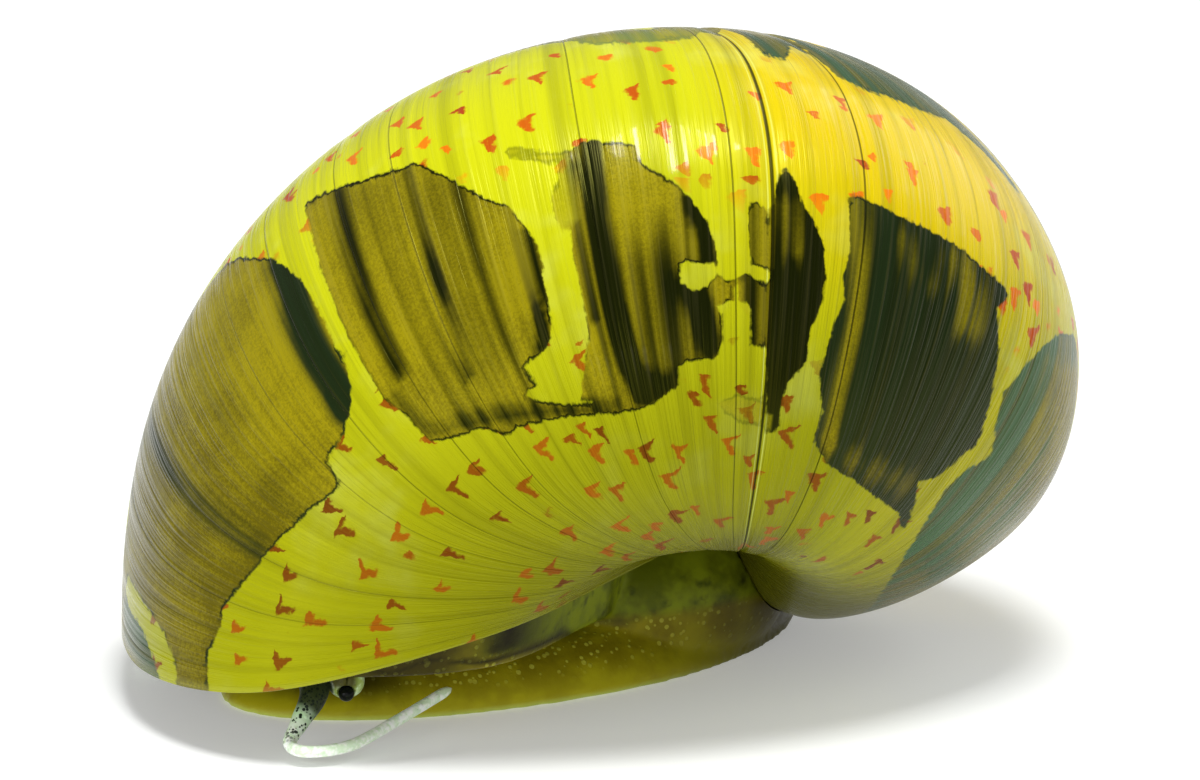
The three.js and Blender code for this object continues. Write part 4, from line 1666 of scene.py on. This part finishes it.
    def stalk_radius(self, share: float) -> float:
        """Returns an eye stalk's radius by its share of the way to its cup."""
        waist = self.stalk_waist + (1 - self.stalk_waist) * min(1.0, share / self.stalk_waist_until)
        return self.cup_radius * waist * self.rounded(share, self.stalk_end, self.stalk_end_size)

    def limbs(self) -> bpy.types.Object:
        """Builds the feelers and eye stalks.

        Returns:
            The object that holds them, in metres.
        """
        form = bmesh.new()
        for path in (self.left_feeler, self.right_feeler):
            Forms.tube(form, path, self.feeler_radius, rings=150, sides=20)
        for side in Side:
            eye = Vector(self.mirrored(self.eye_middle, side))
            tip = eye + self.outward(side) * (self.cup_radius - self.cup_setback)
            tip.z += self.cup_rise
            root = Vector(self.mirrored(self.stalk_root, side))
            Forms.tube(form, (root, root.lerp(tip, 0.5), tip), self.stalk_radius, rings=90, sides=40)
        bmesh.ops.recalc_face_normals(form, faces=form.faces)
        piece = Forms.finished("flesh_limbs", form)
        form = bmesh.new()
        for side in Side:
            middle = Vector(self.mirrored(self.eye_middle, side)) + self.outward(side) * self.socket_shift
            Forms.ellipsoid(form, middle, (self.eye_radius + self.socket_gap,) * 3)
        self.combine(piece, Forms.finished("eye_sockets", form), "DIFFERENCE")
        return piece

    def combine(self, piece: bpy.types.Object, other: bpy.types.Object, operation: str) -> None:
        """Joins or cuts a piece with another, which is removed.

        Args:
            piece: The piece that stays.
            other: The piece that it is joined or cut with.
            operation: UNION or DIFFERENCE.
        """
        step = piece.modifiers.new(operation.lower(), "BOOLEAN")
        step.operation = operation
        step.solver = "EXACT"
        step.use_self = True
        step.object = other
        self.settle(piece)
        bpy.data.objects.remove(other)

    def trunk(self, roof: BVHTree) -> bpy.types.Object:
        """Builds the foot, neck, mantle, head and snout, run together without seams.

        Args:
            roof: The shell, which the flesh stays under.

        Returns:
            The object that holds them, in metres.
        """
        form = bmesh.new()
        Forms.loft(form, self.foot_loops())
        Forms.loft(form, self.mantle_loops())
        lumps = (
            (self.neck_middle, self.neck_radii), (self.collar_middle, self.collar_radii),
            (self.head_middle, self.head_radii), (self.snout_middle, self.snout_radii),
        )
        for middle, radii in lumps:
            Forms.ellipsoid(form, middle, radii)
        bmesh.ops.recalc_face_normals(form, faces=form.faces)
        bmesh.ops.transform(form, matrix=Matrix.Scale(1 / MM, 4), verts=form.verts)
        piece = Forms.finished("flesh_trunk", form)
        remesh = piece.modifiers.new("one_skin", "REMESH")
        remesh.mode = "VOXEL"
        remesh.voxel_size = self.voxel
        self.settle(piece)
        form = bmesh.new()
        form.from_mesh(piece.data)
        axes = {"use_axis_x": True, "use_axis_y": True, "use_axis_z": True}
        for _ in range(self.smoothings):
            bmesh.ops.smooth_vert(form, verts=form.verts, factor=0.5, **axes)
            for vert in form.verts:
                below = Vector((vert.co.x, vert.co.y, -1.0))
                hit = roof.ray_cast(below * MM, Vector((0.0, 0.0, 1.0)))[0]
                if hit is not None:
                    vert.co.z = min(vert.co.z, hit.z / MM - self.roof_gap)
                vert.co.z = max(vert.co.z, 0.0)
        bmesh.ops.transform(form, matrix=Matrix.Scale(MM, 4), verts=form.verts)
        form.to_mesh(piece.data)
        form.free()
        return piece

    @staticmethod
    def settle(piece: bpy.types.Object) -> None:
        """Applies an object's modifiers to its mesh.

        Args:
            piece: The object.
        """
        bpy.context.view_layer.update()
        evaluated = piece.evaluated_get(bpy.context.evaluated_depsgraph_get())
        mesh = bpy.data.meshes.new_from_object(evaluated)
        piece.modifiers.clear()
        piece.data = mesh

    def build(self, shell: bpy.types.Object) -> bpy.types.Object:
        """Builds the whole skin.

        Args:
            shell: The shell, which the flesh stays under.

        Returns:
            The skin.
        """
        form = bmesh.new()
        form.from_mesh(shell.data)
        trunk = self.trunk(BVHTree.FromBMesh(form))
        form.free()
        self.combine(trunk, self.limbs(), "UNION")
        trunk.name = "flesh_skin"
        mesh = trunk.data
        mesh.polygons.foreach_set("use_smooth", [True] * len(mesh.polygons))
        self.mark(mesh)
        mesh.materials.clear()
        mesh.materials.append(self.finish.build())
        return trunk

    def path_share(self, places: np.ndarray, path: Sequence[Point]) -> tuple[np.ndarray, np.ndarray]:
        """Finds how near each place is to a limb's middle line.

        Args:
            places: The skin's places.
            path: The points that the line passes through.

        Returns:
            The distance in millimetres and the share along.
        """
        shares = np.linspace(0.0, 1.0, 120)
        line = np.array([catmull_rom(path, share) for share in shares])
        nearest, at = np.full(len(places), np.inf), np.zeros(len(places))
        for point, share in zip(line, shares):
            reach = np.linalg.norm(places - point, axis=1)
            closer = reach < nearest
            nearest = np.where(closer, reach, nearest)
            at = np.where(closer, share, at)
        return nearest, at

    def mark(self, mesh: bpy.types.Mesh) -> None:
        """Stores the finish's zones on the skin.

        Args:
            mesh: The skin's mesh.
        """
        places, zones = Forms.places(mesh), self.zones
        x, z = places[:, 0], places[:, 2]
        feeler, root, green, spotted, cup = np.zeros((5, len(places)))
        for path in (self.left_feeler, self.right_feeler):
            reach, share = self.path_share(places, path)
            here = zones.feeler_reach.at(reach) * zones.feeler_start.at(share)
            feeler = np.maximum(feeler, here)
            root = np.maximum(root, here * zones.feeler_root.at(share))
            green = np.maximum(green, here * zones.feeler_green.at(share))
            spotted = np.maximum(spotted, here * zones.feeler_spots.at(share))
        for side in Side:
            eye = self.mirrored(self.eye_middle, side)
            hidden = zones.cup_above.at(z - eye[2]) * zones.cup_behind.at(x - eye[0])
            reach = np.linalg.norm(places - np.array(eye), axis=1)
            cup = np.maximum(cup, zones.cup_reach.at(reach) * (1 - hidden))
        above = z - zones.mantle_edge.at(x)
        mantle = zones.mantle_blend.at(above) * zones.mantle_front.at(x)
        wander = np.array([noise.noise(Vector(place) * zones.wander_scale) for place in places])
        # Painted shade in the crease below the mantle's edge.
        painted_crease_shade = np.exp(-(((above - zones.crease_wander * wander) / zones.crease_half) ** 2))
        painted_crease_shade *= zones.crease_end.at(x + zones.crease_end_wander * wander)
        tail = zones.tail.at(x) * (1 - zones.tail_on_mantle * mantle)
        front = zones.front.at(x) * zones.front_above.at(z)
        # Painted shade under the shell: the front, the mantle's front, the crease and the tail.
        shades = (front, mantle * zones.mantle_dusk.at(x), painted_crease_shade, tail)
        values = {
            "feeler": feeler, "feeler_root": root, "feeler_middle": green, "spotted": spotted,
            "cup": cup * (1 - feeler), "mantle": mantle, "margin": zones.margin.at(z) * (1 - tail),
            "grainy": zones.grains.at(z) * (1 - mantle) * (1 - zones.grains_on_tail * tail),
            "painted_light_low": zones.painted_light_low.at(z), "painted_shade": np.max(shades, axis=0),
        }
        for name, value in values.items():
            Forms.paint(mesh, name, value)


@dataclass(frozen=True)
class EyeFinish:
    """A wet black eye with a faint green-brown depth."""

    pupil: Colour = (0.004, 0.005, 0.004, 1.0)
    iris: Colour = (0.008, 0.011, 0.005, 1.0)
    cloud: Cloud = Cloud(9000.0)
    depth: Ramp = Ramp(0.4, 0.7)
    wetness: Ramp = Ramp(0.3, 0.7, 0.06, 0.12)

    def build(self) -> bpy.types.Material:
        """Builds the material.

        Returns:
            The eyes' material.
        """
        shine = {"Coat Weight": 0.06, "Coat Roughness": 0.03, "Specular IOR Level": 0.05}
        material, graph, shader = new_material("eye_wet_black", shine)
        cloud = graph.clouds(self.cloud)
        colour = graph.mix(graph.ramp(cloud, self.depth), self.pupil, self.iris)
        graph.feed(shader.inputs["Base Color"], colour)
        graph.feed(shader.inputs["Roughness"], graph.ramp(cloud, self.wetness))
        return material


@dataclass
class Eye:
    """One eye: a small ball with a slightly raised front."""

    middle: Point
    outward: Vector
    radius: float = 0.2
    bulge: float = 0.02
    bulge_edge: float = 0.8
    rings: int = 28
    finish: EyeFinish = field(default_factory=EyeFinish)

    def build(self, name: str, material: bpy.types.Material) -> bpy.types.Object:
        """Builds the eye.

        Args:
            name: The piece's name.
            material: The eyes' material.

        Returns:
            The eye.
        """
        form = bmesh.new()
        bmesh.ops.create_uvsphere(form, u_segments=2 * self.rings, v_segments=self.rings, radius=self.radius)
        for vert in form.verts:
            front = vert.co.normalized().dot(self.outward) - self.bulge_edge
            vert.co *= 1 - self.bulge + self.bulge * max(0.0, front) / (1 - self.bulge_edge)
        bmesh.ops.translate(form, vec=self.middle, verts=form.verts)
        piece = Forms.finished(name, form)
        piece.data.materials.append(material)
        return piece


@dataclass(frozen=True)
class LidFinish:
    """The lid's brown horn with growth arcs about its inner corner."""

    horn: Colour = (0.10, 0.055, 0.015, 1.0)
    pale_horn: Colour = (0.26, 0.17, 0.05, 1.0)
    stain: Colour = (0.03, 0.02, 0.008, 1.0)
    stain_cloud: Cloud = Cloud(700.0, 3.0)
    horn_shade: Ramp = Ramp(0.35, 0.65)
    stains: Ramp = Ramp(0.5, 0.75, 0.0, 0.5)
    satin: Ramp = Ramp(0.3, 0.7, 0.3, 0.45)
    relief_strength: float = 0.6
    relief: float = 0.00008

    def build(self) -> bpy.types.Material:
        """Builds the material.

        Returns:
            The lid's material.
        """
        material, graph, shader = new_material("lid_brown_horn", {"Coat Weight": 0.3, "Coat Roughness": 0.2})
        inputs = {"Age": graph.number("ring"), "Across": graph.number("ray"), "Fineness": 1.0}
        lines = graph.group(Effects.growth_lines(), inputs).outputs
        colour = graph.mix(graph.ramp(lines["Shade"], self.horn_shade), self.horn, self.pale_horn)
        colour = graph.mix(graph.ramp(graph.clouds(self.stain_cloud), self.stains), colour, self.stain)
        graph.feed(shader.inputs["Base Color"], colour)
        graph.feed(shader.inputs["Roughness"], graph.ramp(lines["Height"], self.satin))
        graph.bump(shader, lines["Height"], self.relief_strength, self.relief)
        return material


@dataclass
class Lid:
    """The half-moon plate on the tail that closes the shell's mouth."""

    growth: Growth
    middle: Point = (2.3, -0.2, 1.5)
    thickness: float = 0.45
    length: float = 6.6
    width: float = 3.2
    bevel: float = 0.12
    rim_angle: float = 1.0
    ring_fineness: float = 6.0
    ray_fineness: float = 0.3
    steps: int = 64
    finish: LidFinish = field(default_factory=LidFinish)

    def build(self) -> bpy.types.Object:
        """Builds the lid.

        Returns:
            The lid.
        """
        along = Vector(self.growth.lip_points[-1]) - Vector(self.growth.axis_end)
        place = Matrix.Translation(self.middle) @ Matrix.Rotation(math.atan2(along.y, along.x), 4, "Z")
        form = bmesh.new()
        ring = bmesh.ops.create_circle(form, cap_ends=True, segments=self.steps, radius=1.0)["verts"]
        for vert in ring:
            vert.co.x *= self.length / 2
            vert.co.y *= self.width if vert.co.y > 0 else 0.0
        bmesh.ops.remove_doubles(form, verts=form.verts, dist=0.01)
        lifted = bmesh.ops.extrude_face_region(form, geom=form.faces[:])["geom"]
        top = [item for item in lifted if isinstance(item, bmesh.types.BMVert)]
        bmesh.ops.translate(form, vec=(0.0, 0.0, self.thickness), verts=top)
        bmesh.ops.recalc_face_normals(form, faces=form.faces)
        rim = [edge for edge in form.edges if edge.calc_face_angle(0.0) > self.rim_angle]
        rounding = {"affect": "EDGES", "segments": 3, "profile": 0.5, "material": -1}
        bmesh.ops.bevel(form, geom=rim, offset=self.bevel, **rounding)
        bmesh.ops.triangulate(form, faces=[face for face in form.faces if len(face.verts) > 4])
        bmesh.ops.subdivide_edges(form, edges=form.edges[:], cuts=2, use_grid_fill=True)
        flat = np.array([vert.co[:] for vert in form.verts])
        bmesh.ops.transform(form, matrix=place, verts=form.verts)
        piece = Forms.finished("lid_plate", form, smooth=False)
        corner = flat[:, :2] - np.array((self.length / 2, 0.0))
        Forms.paint(piece.data, "ring", np.linalg.norm(corner, axis=1) * self.ring_fineness)
        Forms.paint(piece.data, "ray", np.arctan2(corner[:, 1], corner[:, 0]) * self.ray_fineness)
        piece.data.materials.append(self.finish.build())
        return piece


@dataclass
class Studio:
    """The camera, the soft lights and the pale floor."""

    view: Viewpoint
    floor_half: float = 3.0
    floor_colour: Colour = (0.72, 0.73, 0.72, 1.0)
    floor_glow: float = 0.28
    floor_cloud: Cloud = Cloud(30.0)
    floor_shade: float = 0.98
    world_colour: Colour = (1.0, 1.0, 1.0, 1.0)
    world_strength: float = 0.25
    lights: tuple[tuple[str, Point, float, float], ...] = (
        ("key", (10.0, -25.0, 300.0), 110.0, 0.94),
        ("fill", (-260.0, -70.0, 75.0), 160.0, 0.34),
        ("low", (-120.0, -160.0, 26.0), 160.0, 0.1),
        ("back", (230.0, 20.0, 120.0), 180.0, 0.2),
    )

    def camera(self) -> bpy.types.Object:
        """Places the camera.

        Returns:
            The camera.
        """
        data = bpy.data.cameras.new("photo_view")
        data.sensor_width = self.view.sensor
        data.lens = self.view.focal_px / self.view.width_px * self.view.sensor
        data.clip_start = 0.01
        data.clip_end = 20.0
        camera = bpy.data.objects.new("photo_view", data)
        turn = self.view.axes().transposed().to_4x4()
        camera.matrix_world = Matrix.Translation(self.view.place() * MM) @ turn
        bpy.context.scene.collection.objects.link(camera)
        bpy.context.scene.camera = camera
        return camera

    def light(self, name: str, place: Point, size: float, power: float) -> bpy.types.Object:
        """Adds one soft square light that points at the snail.

        Args:
            name: The light's name.
            place: Where it stands, in millimetres.
            size: The length of its side, in millimetres.
            power: Its power in watts.

        Returns:
            The light.
        """
        data = bpy.data.lights.new(name, "AREA")
        data.size = size * MM
        data.energy = power
        lamp = bpy.data.objects.new(name, data)
        towards = Vector(self.view.target) - Vector(place)
        turn = towards.to_track_quat("-Z", "Y").to_matrix().to_4x4()
        lamp.matrix_world = Matrix.Translation(Vector(place) * MM) @ turn
        bpy.context.scene.collection.objects.link(lamp)
        return lamp

    def floor(self) -> bpy.types.Object:
        """Lays the pale floor.

        Returns:
            The floor.
        """
        form = bmesh.new()
        bmesh.ops.create_grid(form, x_segments=1, y_segments=1, size=self.floor_half / MM)
        floor = Forms.finished("floor", form, smooth=False)
        shine = {"Roughness": 0.6, "Emission Color": self.world_colour, "Emission Strength": self.floor_glow}
        material, graph, shader = new_material("floor_pale", shine)
        shaded = tuple(self.floor_shade * part for part in self.floor_colour[:3]) + (1.0,)
        colour = graph.mix(graph.clouds(self.floor_cloud), self.floor_colour, shaded)
        graph.feed(shader.inputs["Base Color"], colour)
        floor.data.materials.append(material)
        return floor

    def build(self) -> None:
        """Sets up the whole studio."""
        self.camera()
        for lamp in self.lights:
            self.light(*lamp)
        world = bpy.data.worlds.new("studio")
        world.use_nodes = True
        backdrop = world.node_tree.nodes["Background"]
        backdrop.inputs["Color"].default_value = self.world_colour
        backdrop.inputs["Strength"].default_value = self.world_strength
        bpy.context.scene.world = world
        bpy.context.scene.view_settings.view_transform = "Standard"
        self.floor()


def stand_in(piece: bpy.types.Object, slot: Slot, *nodes: str) -> None:
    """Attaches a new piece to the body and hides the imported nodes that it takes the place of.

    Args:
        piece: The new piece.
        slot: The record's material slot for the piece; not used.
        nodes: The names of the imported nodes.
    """
    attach(piece, BODY)
    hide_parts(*nodes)
    log.info("%s: %d faces", piece.name, len(piece.data.polygons))


def main() -> None:
    """Builds the snail and its studio."""
    logging.basicConfig(level=logging.INFO, format="%(name)s %(message)s")
    view, growth = Viewpoint(), Growth()
    Studio(view).build()
    shell = Shell(growth, view).build()
    stand_in(shell, Slot.SHELL, "shell")
    flesh = Flesh(growth)
    soft = [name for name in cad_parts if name.startswith(SOFT_PARTS)]
    stand_in(flesh.build(shell), Slot.FLESH, *soft)
    wet_black = EyeFinish().build()
    for side in Side:
        eye = Eye(flesh.mirrored(flesh.eye_middle, side), flesh.outward(side), flesh.eye_radius)
        name = f"eye_{side.name.lower()}"
        stand_in(eye.build(f"{name}_ball", wet_black), Slot.EYE, name)
    stand_in(Lid(growth).build(), Slot.LID, "operculum")


if __name__ == "__main__":
    main()
